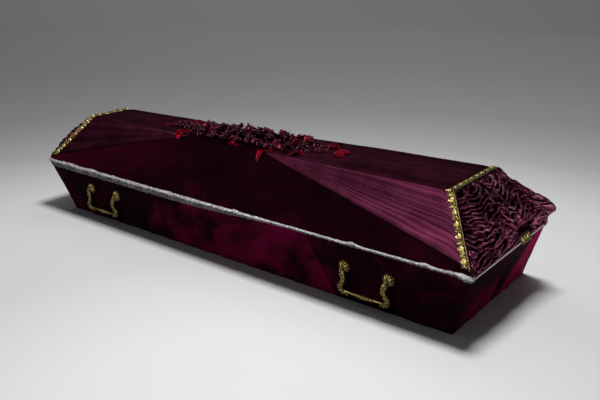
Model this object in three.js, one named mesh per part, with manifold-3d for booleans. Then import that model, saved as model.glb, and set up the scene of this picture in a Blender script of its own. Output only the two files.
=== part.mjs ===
// A cloth-covered coffin. Five boards make the case, which is wider at the rim and at the head end,
// and five more make the hipped lid, which rests on the rim and lifts off.
// Velvet covers the case and the middle of the lid. Pleated satin fans out to both ends of the lid,
// gathered satin hangs over its two end boards, and gold and silver braid cover the cloth's edges.
// Four moulded handles are nailed to the long sides, and a spray of satin roses lies on the lid.
// Millimetres, +Z up, +X towards the head end. The origin is on the underside, below the middle of the rim.

import * as THREE from "three";
import { mergeVertices } from "three/addons/utils/BufferGeometryUtils.js";
import Module from "manifold-3d";

const wasm = await Module();
wasm.setup();

// The case
const rimLength = 2000;
const headWidth = 580; // across the rim
const footWidth = 410;
const caseHeight = 192;
const caseSideInset = 15; // how far each wall comes in at the floor
const caseHeadInset = 55;
const caseFootInset = 145;

// The lid
const lidHeight = 190;
const lidSideRun = 124; // how far each slope comes in at the top
const lidHeadRun = 127;
const lidFootRun = 168;

// Boards and cloth
const boardThickness = 16;
const floorThickness = 16;
const clearance = 0.3; // between any two pieces that touch
const velvetThickness = 2;
const hemHeight = 5; // the velvet of the case stops this far above the ground
const lidHemHeight = 3; // and the velvet of the lid this far above the rim
const seamGap = 3; // along the coffin, between the velvet of the lid and the pleated satin

// Where the velvet of the case is seamed, measured from the middle of the coffin
const footSeamAtRim = 405;
const footSeamAtFloor = 372;
const headSeamAtRim = 413;
const headSeamAtFloor = 533;

// Pleated satin. It starts on the ridges of the lid, measured from the middle of the coffin.
const headFanStart = 125;
const footFanStart = 250;
const fanCornerHeight = 15; // above the rim, at the ends of the lid
const slopePleats = 7;
const topPleats = 6;
const pleatHeight = 5.5;
const pleatValley = 2;
const gatherLength = 24; // the pleats of a slope are gathered into this length at the ridge
const pressLength = 8; // the pleats flatten over this length before the braid

// Gathered satin over the ends of the lid
const drapeColumns = 20;
const drapeRows = 7;
const drapeThickness = 9;
const headSwell = { left: 2, middle: 38, right: 52 }; // at the rim, beyond its thickness
const footSwell = { left: 22, middle: 30, right: 22 };
const foldDepth = 10;
const drapeHemHeight = 4;

// Braid
const goldWidth = 24;
const goldThickness = 3.5;
const goldHemHeight = 12; // above the lower edge of the lid
const bossPitch = 38;
const bossRadius = 10;
const bossHeight = 4;
const bossOverhang = 4; // past the edge of the braid, over the satin
const tabLength = 76; // a short piece of the gold braid on the rim of the head end
const tabHeight = 25;
const tabOffset = 70; // from the middle of the end to the middle of the tab
const tabStandOff = 20; // from the board to the back of the tab
const silverThickness = 2.4;
const silverBelowRim = 24;
const silverAboveRim = 8;
const silverReturn = 20; // how far the long braids turn round the corners
const edgingBelowRim = 8;

// Handles
const handleFromHead = 345; // from the rim's end to the middle of the handle
const handleFromFoot = 365;
const handleNeckHeight = 112; // above the ground
const neckSpan = 163;
const neckRadius = 7;
const neckDepth = 12;
const shellRadius = 25;
const shellRise = 8;
const shellRibs = 5;
const shellLean = 6; // how far each shell stands outside its neck
const armRadius = 5.5;
const armWaist = 11; // how far the arms come together at their middle
const bailDrop = 70; // from the necks down to the bar
const bailStandOff = 19; // from the velvet to the middle of the bar
const barRadius = 5;
const barBelly = 9.5;
const barBellyLength = 64;
const barBead = 2.5; // how far the beads stand out of the bar
const knobRadius = 9.5;
const curlDrop = 17; // from the bar down to the curls
const curlInset = 20; // from the necks in to the curls
const nailRadius = 1.6;
const nailHeadRadius = 3;
const nailProud = 20; // how far a nail stands out of its neck

// The spray of satin roses
const sprayFoot = -330; // its ends, from the middle of the coffin
const sprayHead = 310;
const sprayHalfWidth = 112;
const roseRadius = 56;
const roseHeight = 44;
const roseSides = 6;
const roseRows = 6;
const backingThickness = 5;
const leafThickness = 2;
const leafCup = 6; // how far the sides of a leaf stand up
const leafArch = 9; // how far a leaf stands up where it bends over a ridge
const leafArchSpan = 25; // to each side of the ridge
// Each leaf: its middle, as shares of the spray's length and half width, and its direction in degrees.
const leaves = [
  { along: -0.12, across: -0.1, points: 185, length: 110, width: 52 },
  { along: 0.06, across: -0.8, points: 205, length: 90, width: 40 },
  { along: -0.04, across: 0.62, points: 160, length: 100, width: 50 },
  { along: 0.48, across: -1.1, points: 285, length: 76, width: 56 },
  { along: 0.76, across: -1.3, points: 300, length: 90, width: 34 },
  { along: 0.92, across: -0.8, points: 335, length: 90, width: 44 },
  { along: 1.1, across: -0.1, points: 350, length: 100, width: 50 },
  { along: 0.98, across: 0.72, points: 25, length: 100, width: 46 },
  { along: 0.36, across: 1.2, points: 100, length: 70, width: 44 },
  { along: 0.7, across: 1.2, points: 80, length: 70, width: 44 },
];

const halfLength = rimLength / 2;
const lidTop = caseHeight + lidHeight;
const lidSeat = caseHeight + clearance;
const velvetFace = clearance + velvetThickness; // the velvet's outer face, from the boards
const reach = rimLength + headWidth; // longer than anything here

const axisX = new THREE.Vector3(1, 0, 0);
const axisY = new THREE.Vector3(0, 1, 0);
const axisZ = new THREE.Vector3(0, 0, 1);

// Half the width of the rim at a place along the coffin.
function halfWidth(x) {
  return (footWidth + ((headWidth - footWidth) * (x + halfLength)) / rimLength) / 2;
}

// A plane through three points, facing the way that `outward` points.
function planeThrough(a, b, c, outward) {
  const plane = new THREE.Plane().setFromCoplanarPoints(a, b, c);
  return plane.normal.dot(outward) < 0 ? plane.negate() : plane;
}

function moved(plane, distance) {
  return new THREE.Plane(plane.normal.clone(), plane.constant - distance);
}

function level(z) {
  return new THREE.Plane(axisZ, -z);
}

// The four walls of the case or lid: each comes in from the rim by its run, over a height.
function walls(height, runs) {
  const far = caseHeight + height;
  const rim = (x, y) => new THREE.Vector3(x, y, caseHeight);
  const side = (sign) => {
    const a = rim(-halfLength, sign * halfWidth(-halfLength));
    const b = rim(halfLength, sign * halfWidth(halfLength));
    const c = new THREE.Vector3(0, sign * (halfWidth(0) - runs.side), far);
    return planeThrough(a, b, c, new THREE.Vector3(0, sign, 0));
  };
  const end = (sign, run) => {
    const a = rim(sign * halfLength, -halfWidth(0));
    const b = rim(sign * halfLength, halfWidth(0));
    const c = new THREE.Vector3(sign * (halfLength - run), 0, far);
    return planeThrough(a, b, c, new THREE.Vector3(sign, 0, 0));
  };
  return { left: side(-1), right: side(1), head: end(1, runs.head), foot: end(-1, runs.foot) };
}

const caseWalls = walls(-caseHeight, { side: caseSideInset, head: caseHeadInset, foot: caseFootInset });
const lidWalls = walls(lidHeight, { side: lidSideRun, head: lidHeadRun, foot: lidFootRun });

// The point where three planes meet.
function meet(p, q, r) {
  const point = new THREE.Vector3().crossVectors(q.normal, r.normal).multiplyScalar(-p.constant);
  point.addScaledVector(new THREE.Vector3().crossVectors(r.normal, p.normal), -q.constant);
  point.addScaledVector(new THREE.Vector3().crossVectors(p.normal, q.normal), -r.constant);
  return point.divideScalar(p.normal.dot(new THREE.Vector3().crossVectors(q.normal, r.normal)));
}

// The six-sided block between pairs of planes: foot and head, left and right, bottom and top.
function block(foot, head, left, right, bottom, top) {
  const corners = [];
  for (const z of [bottom, top])
    for (const y of [left, right])
      for (const x of [foot, head]) corners.push(...meet(x, y, z).toArray());
  const faces = [
    0, 2, 3, 0, 3, 1, 4, 5, 7, 4, 7, 6, 0, 1, 5, 0, 5, 4,
    2, 6, 7, 2, 7, 3, 0, 4, 6, 0, 6, 2, 1, 3, 7, 1, 7, 5,
  ];
  const geometry = new THREE.BufferGeometry();
  geometry.setAttribute("position", new THREE.Float32BufferAttribute(corners, 3));
  geometry.setIndex(faces);
  return geometry;
}

// A block whose four sides are the given walls moved outwards, or inwards where the distance is negative.
function shellBlock(w, distance, bottom, top) {
  const [foot, head, left, right] = ["foot", "head", "left", "right"].map((n) => moved(w[n], distance));
  return block(foot, head, left, right, level(bottom), level(top));
}

// A closed geometry as a manifold-3d solid, and back again.
function solid(geometry) {
  const bare = new THREE.BufferGeometry();
  bare.setAttribute("position", geometry.getAttribute("position").clone());
  bare.setIndex(geometry.index);
  const merged = mergeVertices(bare, 1e-3);
  const vertProperties = merged.getAttribute("position").array;
  const triVerts = new Uint32Array(merged.index.array);
  return new wasm.Manifold(new wasm.Mesh({ numProp: 3, vertProperties, triVerts }));
}

function geometryOf(manifold) {
  const mesh = manifold.getMesh();
  const geometry = new THREE.BufferGeometry();
  geometry.setAttribute("position", new THREE.BufferAttribute(mesh.vertProperties, 3));
  geometry.setIndex(new THREE.BufferAttribute(mesh.triVerts, 1));
  return geometry;
}

function joined(geometries) {
  return geometries.map(solid).reduce((all, next) => all.add(next));
}

// A region without end in one direction: above and below an outline in plan, or behind and before one of [x, z].
function prism(outline, u, v) {
  const shape = new THREE.Shape(outline.map(([a, b]) => new THREE.Vector2(a, b)));
  const geometry = new THREE.ExtrudeGeometry(shape, { depth: 2 * reach, bevelEnabled: false });
  const w = new THREE.Vector3().crossVectors(u, v);
  const matrix = new THREE.Matrix4().makeBasis(u, v, w);
  return solid(geometry.applyMatrix4(matrix.setPosition(w.clone().multiplyScalar(-reach))));
}

function planRegion(outline) {
  return prism(outline, axisX, axisY);
}

function sideRegion(outline) {
  return prism(outline, axisX, axisZ);
}

// Everything between the two ends, and everything within a distance of one wall.
function clearedOf(w, names) {
  const far = names.map((name) => [name, moved(w[name], reach)]);
  return { ...w, ...Object.fromEntries(far) };
}

function betweenEnds(w) {
  return solid(shellBlock(clearedOf(w, ["left", "right"]), 0, 0, 2 * lidTop));
}

function strip(w, name, distance, beyond = 0) {
  const opposite = { left: "right", right: "left", head: "foot", foot: "head" };
  const others = Object.keys(opposite).filter((other) => ![name, opposite[name]].includes(other));
  const faces = { [name]: moved(w[name], beyond), [opposite[name]]: moved(w[name], -distance) };
  return solid(shellBlock({ ...clearedOf(w, others), ...faces }, 0, 0, 2 * lidTop));
}

// A turned form about Z, from [radius, z] points.
function turned(profile, sides) {
  const points = profile.map(([r, z]) => new THREE.Vector2(r, z));
  return new THREE.LatheGeometry(points, sides).rotateX(Math.PI / 2);
}

// Materials
function finish(color, roughness, metalness = 0) {
  return new THREE.MeshStandardMaterial({ color, roughness, metalness });
}

const materials = {
  board: finish(0xb08a5c, 0.8),
  darkVelvet: finish(0x16040a, 0.9),
  velvet: finish(0x4a0720, 0.9),
  pleatedSatin: finish(0x5a1f3c, 0.45),
  gatheredSatin: finish(0x4a1830, 0.35),
  gold: finish(0xb8923c, 0.35, 0.9),
  silver: finish(0xa9a3ab, 0.45, 0.6),
  handle: finish(0x8a7440, 0.35, 0.9),
  nail: finish(0x5a5650, 0.4, 0.9),
  rose: finish(0x3a1422, 0.5),
  leaf: finish(0xa0102a, 0.4),
};

const coffin = new THREE.Group();

function add(name, geometry, material, parent = coffin) {
  const faceted = geometry.index ? geometry.toNonIndexed() : geometry;
  faceted.computeVertexNormals();
  const mesh = new THREE.Mesh(faceted, material);
  mesh.name = name;
  parent.add(mesh);
}

// Boards. The long boards run the full length, and the end boards fit between them.
function wallBoards(prefix, w, bottom, top) {
  const inside = (name, gap = 0) => moved(w[name], -boardThickness - gap);
  for (const side of ["left", "right"]) {
    const faces = side === "left" ? [w.left, inside("left")] : [inside("right"), w.right];
    add(`${prefix}_${side}_board`, block(w.foot, w.head, ...faces, bottom, top), materials.board);
  }
  for (const end of ["foot", "head"]) {
    const faces = end === "foot" ? [w.foot, inside("foot")] : [inside("head"), w.head];
    const between = [inside("left", clearance), inside("right", clearance)];
    add(`${prefix}_${end}_board`, block(...faces, ...between, bottom, top), materials.board);
  }
}

wallBoards("case", caseWalls, level(0), level(caseHeight));
const floorBoard = shellBlock(caseWalls, -boardThickness - clearance, 0, floorThickness);
add("case_floor_board", floorBoard, materials.board);
wallBoards("lid", lidWalls, level(lidSeat), level(lidTop - boardThickness - clearance));
add("lid_top_board", shellBlock(lidWalls, 0, lidTop - boardThickness, lidTop), materials.board);

// A layer of cloth or braid outside the walls, between two distances from them.
function caseLayer(inner, outer, bottom, top) {
  const within = solid(shellBlock(caseWalls, inner, bottom - 1, top + 1));
  return solid(shellBlock(caseWalls, outer, bottom, top)).subtract(within);
}

function lidLayer(inner, outer, bottom) {
  const within = solid(shellBlock(lidWalls, inner, bottom - reach, lidTop + inner));
  return solid(shellBlock(lidWalls, outer, bottom, lidTop + outer)).subtract(within);
}

// Velvet on the case: on each long side a middle panel, and two pieces that wrap round the corners
// and meet at the middle of the ends.
function caseVelvet() {
  const cloth = caseLayer(clearance, velvetFace, hemHeight, caseHeight);
  const seam = (atRim, atFloor, shift) => {
    const slope = atRim - atFloor; // over the height of the case
    return [[atFloor - slope + shift, -caseHeight], [atRim + slope + shift, 2 * caseHeight]];
  };
  const footSeam = (shift) => seam(-footSeamAtRim, -footSeamAtFloor, shift);
  const headSeam = (shift) => seam(headSeamAtRim, headSeamAtFloor, shift);
  const far = (x) => [[x, 2 * caseHeight], [x, -caseHeight]];
  const spans = {
    foot: [...footSeam(0), ...far(-reach)],
    middle: [...footSeam(clearance), ...headSeam(-clearance).reverse()],
    head: [...headSeam(0), ...far(reach)],
  };
  for (const [side, sign] of [["left", -1], ["right", 1]]) {
    const near = (sign * clearance) / 2;
    const half = planRegion([[-reach, near], [reach, near], [reach, sign * reach], [-reach, sign * reach]]);
    for (const [span, outline] of Object.entries(spans)) {
      const material = span === "middle" ? materials.velvet : materials.darkVelvet;
      const piece = cloth.intersect(half).intersect(sideRegion(outline));
      add(`case_${side}_${span}_velvet`, geometryOf(piece), material);
    }
  }
}
caseVelvet();

// Half the width of the lid's top at a place along the coffin.
function ridgeHalf(x) {
  return halfWidth(x) - lidSideRun;
}

// Where the edge of a fan of pleats meets the end of the lid, in plan.
function fanCorner(sign, run) {
  const x = sign * (halfLength - (run * fanCornerHeight) / lidHeight);
  return [x, halfWidth(x) - (lidSideRun * fanCornerHeight) / lidHeight];
}

const fans = {
  head: { sign: 1, start: headFanStart, corner: fanCorner(1, lidHeadRun), wall: lidWalls.head },
  foot: { sign: -1, start: -footFanStart, corner: fanCorner(-1, lidFootRun), wall: lidWalls.foot },
};

// Velvet on the lid: over both slopes and the top, between the two fans.
function lidVelvet() {
  const edge = ({ sign, start, corner: [x, y] }) => [
    [start - sign * seamGap, ridgeHalf(start)],
    [x - sign * seamGap, y + clearance],
    [sign * reach, y + clearance],
    [sign * reach, reach],
  ];
  const half = [...edge(fans.foot), ...edge(fans.head).reverse()];
  const otherHalf = half.map(([x, y]) => [x, -y]).reverse();
  const cover = lidLayer(clearance, velvetFace, lidSeat + lidHemHeight);
  const region = planRegion([...half, ...otherHalf]);
  return geometryOf(cover.intersect(region).intersect(betweenEnds(lidWalls)));
}
add("lid_middle_velvet", lidVelvet(), materials.darkVelvet);

// A closed sheet with two faces, `front(i, j)` and `back(i, j)`, each given point by point.
function sheet(columns, rows, front, back) {
  const positions = [];
  for (const face of [front, back])
    for (let i = 0; i <= columns; i++)
      for (let j = 0; j <= rows; j++) positions.push(...face(i, j).toArray());
  const layer = (columns + 1) * (rows + 1);
  const at = (i, j, k) => k * layer + i * (rows + 1) + j;
  const index = [];
  const quad = (a, b, c, d) => index.push(a, b, c, a, c, d);
  for (let i = 0; i < columns; i++)
    for (let j = 0; j < rows; j++) {
      quad(at(i, j, 0), at(i + 1, j, 0), at(i + 1, j + 1, 0), at(i, j + 1, 0));
      quad(at(i, j, 1), at(i, j + 1, 1), at(i + 1, j + 1, 1), at(i + 1, j, 1));
    }
  for (let i = 0; i < columns; i++) {
    quad(at(i, 0, 1), at(i + 1, 0, 1), at(i + 1, 0, 0), at(i, 0, 0));
    quad(at(i, rows, 0), at(i + 1, rows, 0), at(i + 1, rows, 1), at(i, rows, 1));
  }
  for (let j = 0; j < rows; j++) {
    quad(at(0, j, 0), at(0, j + 1, 0), at(0, j + 1, 1), at(0, j, 1));
    quad(at(columns, j, 1), at(columns, j + 1, 1), at(columns, j + 1, 0), at(columns, j, 0));
  }
  const geometry = new THREE.BufferGeometry();
  geometry.setAttribute("position", new THREE.Float32BufferAttribute(positions, 3));
  geometry.setIndex(index);
  if (solid(geometry).volume() < 0)
    for (let k = 0; k < index.length; k += 3) geometry.index.setXY(k, index[k + 1], index[k]);
  return geometry;
}

// The point above a place in plan that lies a distance outside the slopes and the top of the lid.
function onLid(x, y, distance) {
  const faces = [lidWalls.left, lidWalls.right, level(lidTop)];
  const height = ({ normal, constant }) => (distance - constant - normal.x * x - normal.y * y) / normal.z;
  return new THREE.Vector3(x, y, Math.min(...faces.map(height)));
}

// Pleated satin, from the middle of the lid to one end: over one slope, the top and the other slope.
// Each column of the sheet is a fold. Those of a slope start close together at the ridge.
function pleatedSatin({ start, wall }) {
  const end = moved(wall, -clearance);
  const inPlan = ({ x, y }) => new THREE.Vector2(x, y);
  const ridge = (side) => inPlan(meet(lidWalls[side], level(lidTop), end));
  const apex = (sign) => new THREE.Vector2(start, sign * ridgeHalf(start));
  const slope = (side, sign) => {
    const low = inPlan(meet(lidWalls[side], level(caseHeight + fanCornerHeight), end));
    const seam = low.clone().sub(apex(sign)).normalize();
    return Array.from({ length: 2 * slopePleats }, (_, k) => {
      const share = k / (2 * slopePleats);
      const inner = apex(sign).addScaledVector(seam, gatherLength * (1 - share));
      return [inner, low.clone().lerp(ridge(side), share)];
    });
  };
  const top = Array.from({ length: 2 * topPleats + 1 }, (_, k) => {
    const share = k / (2 * topPleats);
    return [apex(-1).lerp(apex(1), share), ridge("left").lerp(ridge("right"), share)];
  });
  const columns = [...slope("left", -1), ...top, ...slope("right", 1).reverse()];
  const fromEnd = ({ x, y }) => -wall.distanceToPoint(onLid(x, y, 0));
  const fullness = [0.2, 1, 0, 0]; // the pleats lie low under the spray and flat under the braid
  const point = (i, j, distance) => {
    const [inner, outer] = columns[i];
    const share = (d) => (fromEnd(inner) - d) / (fromEnd(inner) - fromEnd(outer));
    const pressed = goldWidth + bossOverhang;
    const stations = [0, share(pressed + pressLength), share(pressed), 1];
    const { x, y } = inner.clone().lerp(outer, stations[j]);
    return onLid(x, y, distance);
  };
  const front = (i, j) => {
    const rise = i % 2 ? (pleatHeight - pleatValley) * fullness[j] : 0;
    return point(i, j, clearance + pleatValley + rise);
  };
  return sheet(columns.length - 1, fullness.length - 1, front, (i, j) => point(i, j, clearance));
}
add("lid_head_pleated_satin", pleatedSatin(fans.head), materials.pleatedSatin);
add("lid_foot_pleated_satin", pleatedSatin(fans.foot), materials.pleatedSatin);

// Gathered satin over an end board of the lid. It swells out below the braid, in crooked folds.
// `swell` says how far, at the left side, the middle and the right side of the end.
function gatheredSatin(wall, sign, swell) {
  const board = moved(wall, clearance);
  const outward = new THREE.Vector3(sign, 0, 0);
  const back = (i, j) => {
    const height = level(THREE.MathUtils.lerp(lidSeat + drapeHemHeight, lidTop, j / drapeRows));
    const from = meet(lidWalls.left, board, height);
    return from.lerp(meet(lidWalls.right, board, height), i / drapeColumns);
  };
  const front = (i, j) => {
    const across = i / drapeColumns;
    const up = j / drapeRows;
    const side = across < 0.5 ? swell.left : swell.right;
    const fullness = THREE.MathUtils.lerp(swell.middle, side, (2 * across - 1) ** 2);
    const fold = Math.sin(26 * across + 3 * Math.sin(7 * up)) * Math.cos(9 * up + 6 * across);
    const depth = drapeThickness + fullness * Math.sqrt(1 - up) + (foldDepth / 2) * fold;
    return back(i, j).addScaledVector(outward.clone().lerp(wall.normal, up).normalize(), depth);
  };
  return sheet(drapeColumns, drapeRows, front, back);
}

// The short braid tab stands on the rim of the head end, in front of the first folds.
function tabBlock(inner, outer, margin) {
  const across = (y) => new THREE.Plane(axisY, -y);
  const low = lidSeat + drapeHemHeight;
  return block(
    moved(lidWalls.head, inner),
    moved(lidWalls.head, outer),
    across(tabOffset - tabLength / 2 - margin),
    across(tabOffset + tabLength / 2 + margin),
    level(low - margin),
    level(low + tabHeight + margin),
  );
}

const tabNotch = solid(tabBlock(tabStandOff - clearance, reach, clearance));
const headDrape = solid(gatheredSatin(lidWalls.head, 1, headSwell)).subtract(tabNotch);
add("lid_head_gathered_satin", geometryOf(headDrape), materials.gatheredSatin);
add("lid_foot_gathered_satin", gatheredSatin(lidWalls.foot, -1, footSwell), materials.gatheredSatin);
add("lid_head_braid_tab", tabBlock(tabStandOff, tabStandOff + goldThickness, 0), materials.gold);

// Gold braid over the pleated satin, along one end of the lid, with a row of bosses.
function goldBraid(end) {
  const inner = clearance + pleatValley + clearance;
  const bottom = lidSeat + goldHemHeight;
  const band = lidLayer(inner, inner + goldThickness, bottom).intersect(strip(lidWalls, end, goldWidth));
  const bossLine = moved(lidWalls[end], bossRadius - bossOverhang - goldWidth);
  const path = [
    meet(lidWalls.left, bossLine, level(bottom)),
    meet(lidWalls.left, bossLine, level(lidTop)),
    meet(lidWalls.right, bossLine, level(lidTop)),
    meet(lidWalls.right, bossLine, level(bottom)),
  ];
  const bosses = [lidWalls.left.normal, axisZ, lidWalls.right.normal].flatMap((normal, k) => {
    const count = Math.round(path[k].distanceTo(path[k + 1]) / bossPitch);
    const turn = new THREE.Quaternion().setFromUnitVectors(axisZ, normal);
    return Array.from({ length: count }, (_, n) => {
      const place = path[k].clone().lerp(path[k + 1], (n + 0.5) / count);
      place.addScaledVector(normal, inner + goldThickness / 3);
      const crown = bossHeight + (2 * goldThickness) / 3;
      const boss = turned([[0, 0], [bossRadius, 0], [0.7 * bossRadius, 0.8 * crown], [0, crown]], 5);
      return boss.applyQuaternion(turn).translate(...place.toArray());
    });
  });
  return geometryOf(joined(bosses).add(band));
}
add("lid_head_gold_braid", goldBraid("head"), materials.gold);
add("lid_foot_gold_braid", goldBraid("foot"), materials.gold);

// Silver braid over the edge of the case. The long pieces stand up past the rim and turn the corners,
// and a narrow edging runs between them along each end.
function silverBraid() {
  const inner = velvetFace + clearance;
  const layer = (below, above) =>
    caseLayer(inner, inner + silverThickness, caseHeight - below, caseHeight + above);
  const lip = layer(silverBelowRim, silverAboveRim).intersect(betweenEnds(caseWalls));
  const braid = layer(silverBelowRim, 0).add(lip);
  for (const side of ["left", "right"]) {
    const piece = braid.intersect(strip(caseWalls, side, silverReturn, reach));
    add(`case_${side}_silver_braid`, geometryOf(piece), materials.silver);
  }
  const edging = ["left", "right"].reduce(
    (rest, side) => rest.subtract(strip(caseWalls, side, silverReturn + clearance, reach)),
    layer(edgingBelowRim, 0),
  );
  for (const [end, sign] of [["head", 1], ["foot", -1]]) {
    const half = planRegion([[0, -reach], [sign * reach, -reach], [sign * reach, reach], [0, reach]]);
    add(`case_${end}_silver_edging`, geometryOf(edging.intersect(half)), materials.silver);
  }
}
silverBraid();

// A round bar along a smooth curve.
function tube(points, radius, sides, steps) {
  const ring = Array.from({ length: sides }, (_, k) => {
    const angle = (2 * Math.PI * k) / sides;
    return new THREE.Vector2(radius * Math.cos(angle), radius * Math.sin(angle));
  });
  const extrudePath = new THREE.CatmullRomCurve3(points.map((p) => new THREE.Vector3(...p)));
  return new THREE.ExtrudeGeometry(new THREE.Shape(ring), { steps, extrudePath, bevelEnabled: false });
}

// A scallop shell: ribs fan out from its hinge, and it is flat behind.
function shell() {
  const sweep = (2 * Math.PI) / 3; // to each side of straight up
  const columns = 2 * shellRibs;
  const rings = [[0.15, 1, 1], [1, 0.6, 0.25]]; // radius, height of a rib and between ribs
  const front = (i, j) => {
    const angle = Math.PI / 2 + THREE.MathUtils.lerp(-sweep, sweep, i / columns);
    const [share, onRib, between] = rings[j];
    const radius = shellRadius * share * (i % 2 ? 1.05 : 0.95);
    const rise = shellRise * (i % 2 ? onRib : between);
    return new THREE.Vector3(radius * Math.cos(angle), radius * Math.sin(angle), rise);
  };
  return sheet(columns, rings.length - 1, front, (i, j) => front(i, j).setZ(clearance));
}

// The outline of the bar, as [radius, place] points: a belly with a bead at each side of it.
function barProfile(halfBar) {
  const belly = barBellyLength / 2;
  const half = [
    [barBelly, 0], [barRadius, belly], [barRadius + barBead, belly + 6], [barRadius, belly + 12],
    [barRadius, halfBar], [0, halfBar],
  ];
  return [...half.slice(1).reverse().map(([r, z]) => [r, -z]), ...half];
}

// One moulded handle: two shells, two curved arms and the bar between them.
// Its necks are on the X axis, and it hangs down along -Y and stands out along Z.
function handle() {
  const neck = neckSpan / 2;
  const curl = [neck - curlInset, -bailDrop - curlDrop, bailStandOff];
  const arm = (sign) => {
    const path = [
      [neck, 4, neckDepth - armRadius],
      [neck - armWaist / 2, -bailDrop / 4, neckDepth],
      [neck - armWaist, -bailDrop / 2, (neckDepth + bailStandOff) / 2],
      [neck - 2, -bailDrop, bailStandOff],
      curl,
    ];
    return tube(path.map(([x, y, z]) => [sign * x, y, z]), armRadius, 5, 6);
  };
  const pieces = [-1, 1].flatMap((sign) => [
    shell().translate(sign * (neck + shellLean), 0, 0),
    turned([[0, clearance], [neckRadius, clearance], [neckRadius, neckDepth], [0, neckDepth]], 6)
      .translate(sign * neck, 0, 0),
    arm(sign),
    new THREE.SphereGeometry(knobRadius, 6, 3).translate(sign * (neck - 3), -bailDrop, bailStandOff),
  ]);
  const bar = turned(barProfile(neck - 4), 6).rotateY(Math.PI / 2).translate(0, -bailDrop, bailStandOff);
  const bore = nailRadius + clearance;
  const drill = (sign) => turned([[0, -1], [bore, -1], [bore, reach], [0, reach]], 6)
    .translate(sign * neck, 0, 0);
  return geometryOf(joined([bar, ...pieces]).subtract(joined([drill(-1), drill(1)])));
}

function nail() {
  const tip = neckDepth + nailProud;
  return turned([
    [0, clearance], [nailRadius, clearance], [nailRadius, tip - 1.5], [nailHeadRadius, tip - 1.5], [0, tip],
  ], 5);
}

// A handle hangs flat against the velvet, at a place along a long side.
function hangHandle(side, end, x) {
  const face = moved(caseWalls[side], velvetFace);
  const out = face.normal;
  const up = axisZ.clone().addScaledVector(out, -out.z).normalize();
  const station = new THREE.Plane(axisX, -x);
  const hanger = new THREE.Group();
  const basis = new THREE.Matrix4().makeBasis(new THREE.Vector3().crossVectors(up, out), up, out);
  hanger.applyMatrix4(basis.setPosition(meet(face, station, level(handleNeckHeight))));
  coffin.add(hanger);
  const name = `${side}_${end}_handle`;
  add(name, handle(), materials.handle, hanger);
  for (const [k, sign] of [[1, -1], [2, 1]])
    add(`${name}_nail_${k}`, nail().translate((sign * neckSpan) / 2, 0, 0), materials.nail, hanger);
}

for (const side of ["left", "right"]) {
  hangHandle(side, "head", halfLength - handleFromHead);
  hangHandle(side, "foot", handleFromFoot - halfLength);
}

// What lies on the lid seats on the velvet where it can, and otherwise on the crests of the pleats.
function seatOnLid(x, halfSpan) {
  const onVelvet = x - halfSpan > -footFanStart && x + halfSpan < headFanStart;
  return (onVelvet ? velvetFace : clearance + pleatHeight) + clearance;
}

// The roses of the spray: one, two or three side by side in each row, sewn to an oval backing.
function rosePlaces() {
  const spread = sprayHalfWidth - roseRadius;
  const places = [];
  for (let row = 0; row < roseRows; row++) {
    const end = row === 0 || row === roseRows - 1;
    const side = row % 2 ? [-0.8, 0.8] : [-1, 0, 1];
    const x = THREE.MathUtils.lerp(sprayFoot + roseRadius, sprayHead - roseRadius, row / (roseRows - 1));
    for (const across of end ? [0] : side) places.push({ x, y: across * spread });
  }
  return places.map((place, k) => ({ ...place, radius: roseRadius * (1 - 0.1 * (k % 3)), turn: k }));
}

function backing(margin, bottom, top) {
  const half = (sprayHead - sprayFoot - roseRadius) / 2 + margin;
  const wide = sprayHalfWidth - roseRadius / 2 + margin;
  const form = turned([[0, bottom], [1, bottom], [1, top], [0, top]], 16).scale(half, wide, 1);
  return solid(form.translate((sprayHead + sprayFoot) / 2, 0, 0));
}

function rose({ x, y, radius, turn }) {
  const profile = [[0, 0], [0.8, 0], [1, 0.35], [0.7, 0.6], [0.5, 0.95], [0.25, 0.7], [0, 1]];
  const form = turned(profile.map(([r, h]) => [r * radius, h * roseHeight]), roseSides);
  return form.rotateZ(turn).translate(...onLid(x, y, seatOnLid(x, radius)).toArray());
}

// A pointed leaf of satin that follows the lid. It is cut away where it runs under the roses.
function leaf({ along, across, points, length, width }, roses) {
  const angle = THREE.MathUtils.degToRad(points);
  const middle = new THREE.Vector2(
    THREE.MathUtils.lerp(sprayFoot, sprayHead, along),
    across * sprayHalfWidth,
  );
  const steps = 5;
  const seat = seatOnLid(middle.x, length / 2);
  const point = (i, j, lift) => {
    const share = i / steps;
    const half = (width / 2) * Math.sin(Math.PI * THREE.MathUtils.lerp(0.12, 0.94, share));
    const place = new THREE.Vector2(length * (share - 0.5), half * (j - 1)).rotateAround(new THREE.Vector2(), angle);
    place.add(middle);
    const fromRidge = Math.abs(Math.abs(place.y) - ridgeHalf(place.x));
    const arch = leafArch * Math.max(0, 1 - fromRidge / leafArchSpan);
    const cup = j === 1 ? 0 : leafCup;
    return onLid(place.x, place.y, seat + Math.max(arch, cup) + lift);
  };
  const blade = solid(sheet(steps, 2, (i, j) => point(i, j, leafThickness), (i, j) => point(i, j, 0)));
  const beside = roses.reduce((rest, { x, y, radius, turn }) => {
    const wide = radius + 2 * clearance;
    const footprint = turned([[0, 0], [wide, 0], [wide, reach], [0, reach]], roseSides);
    return rest.subtract(solid(footprint.rotateZ(turn).translate(x, y, 0)));
  }, blade);
  return geometryOf(beside.subtract(backing(2 * clearance, 0, reach)));
}

const roses = rosePlaces();
const backingSeat = lidTop + clearance + pleatHeight + clearance;
const spray = joined(roses.map(rose)).add(backing(0, backingSeat, backingSeat + backingThickness));
add("spray_of_roses", geometryOf(spray), materials.rose);
leaves.forEach((place, k) => add(`spray_leaf_${k + 1}`, leaf(place, roses), materials.leaf));

export default coffin;
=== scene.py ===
import math

import bmesh
import bpy
import numpy as np
from mathutils import Matrix, Vector


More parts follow.
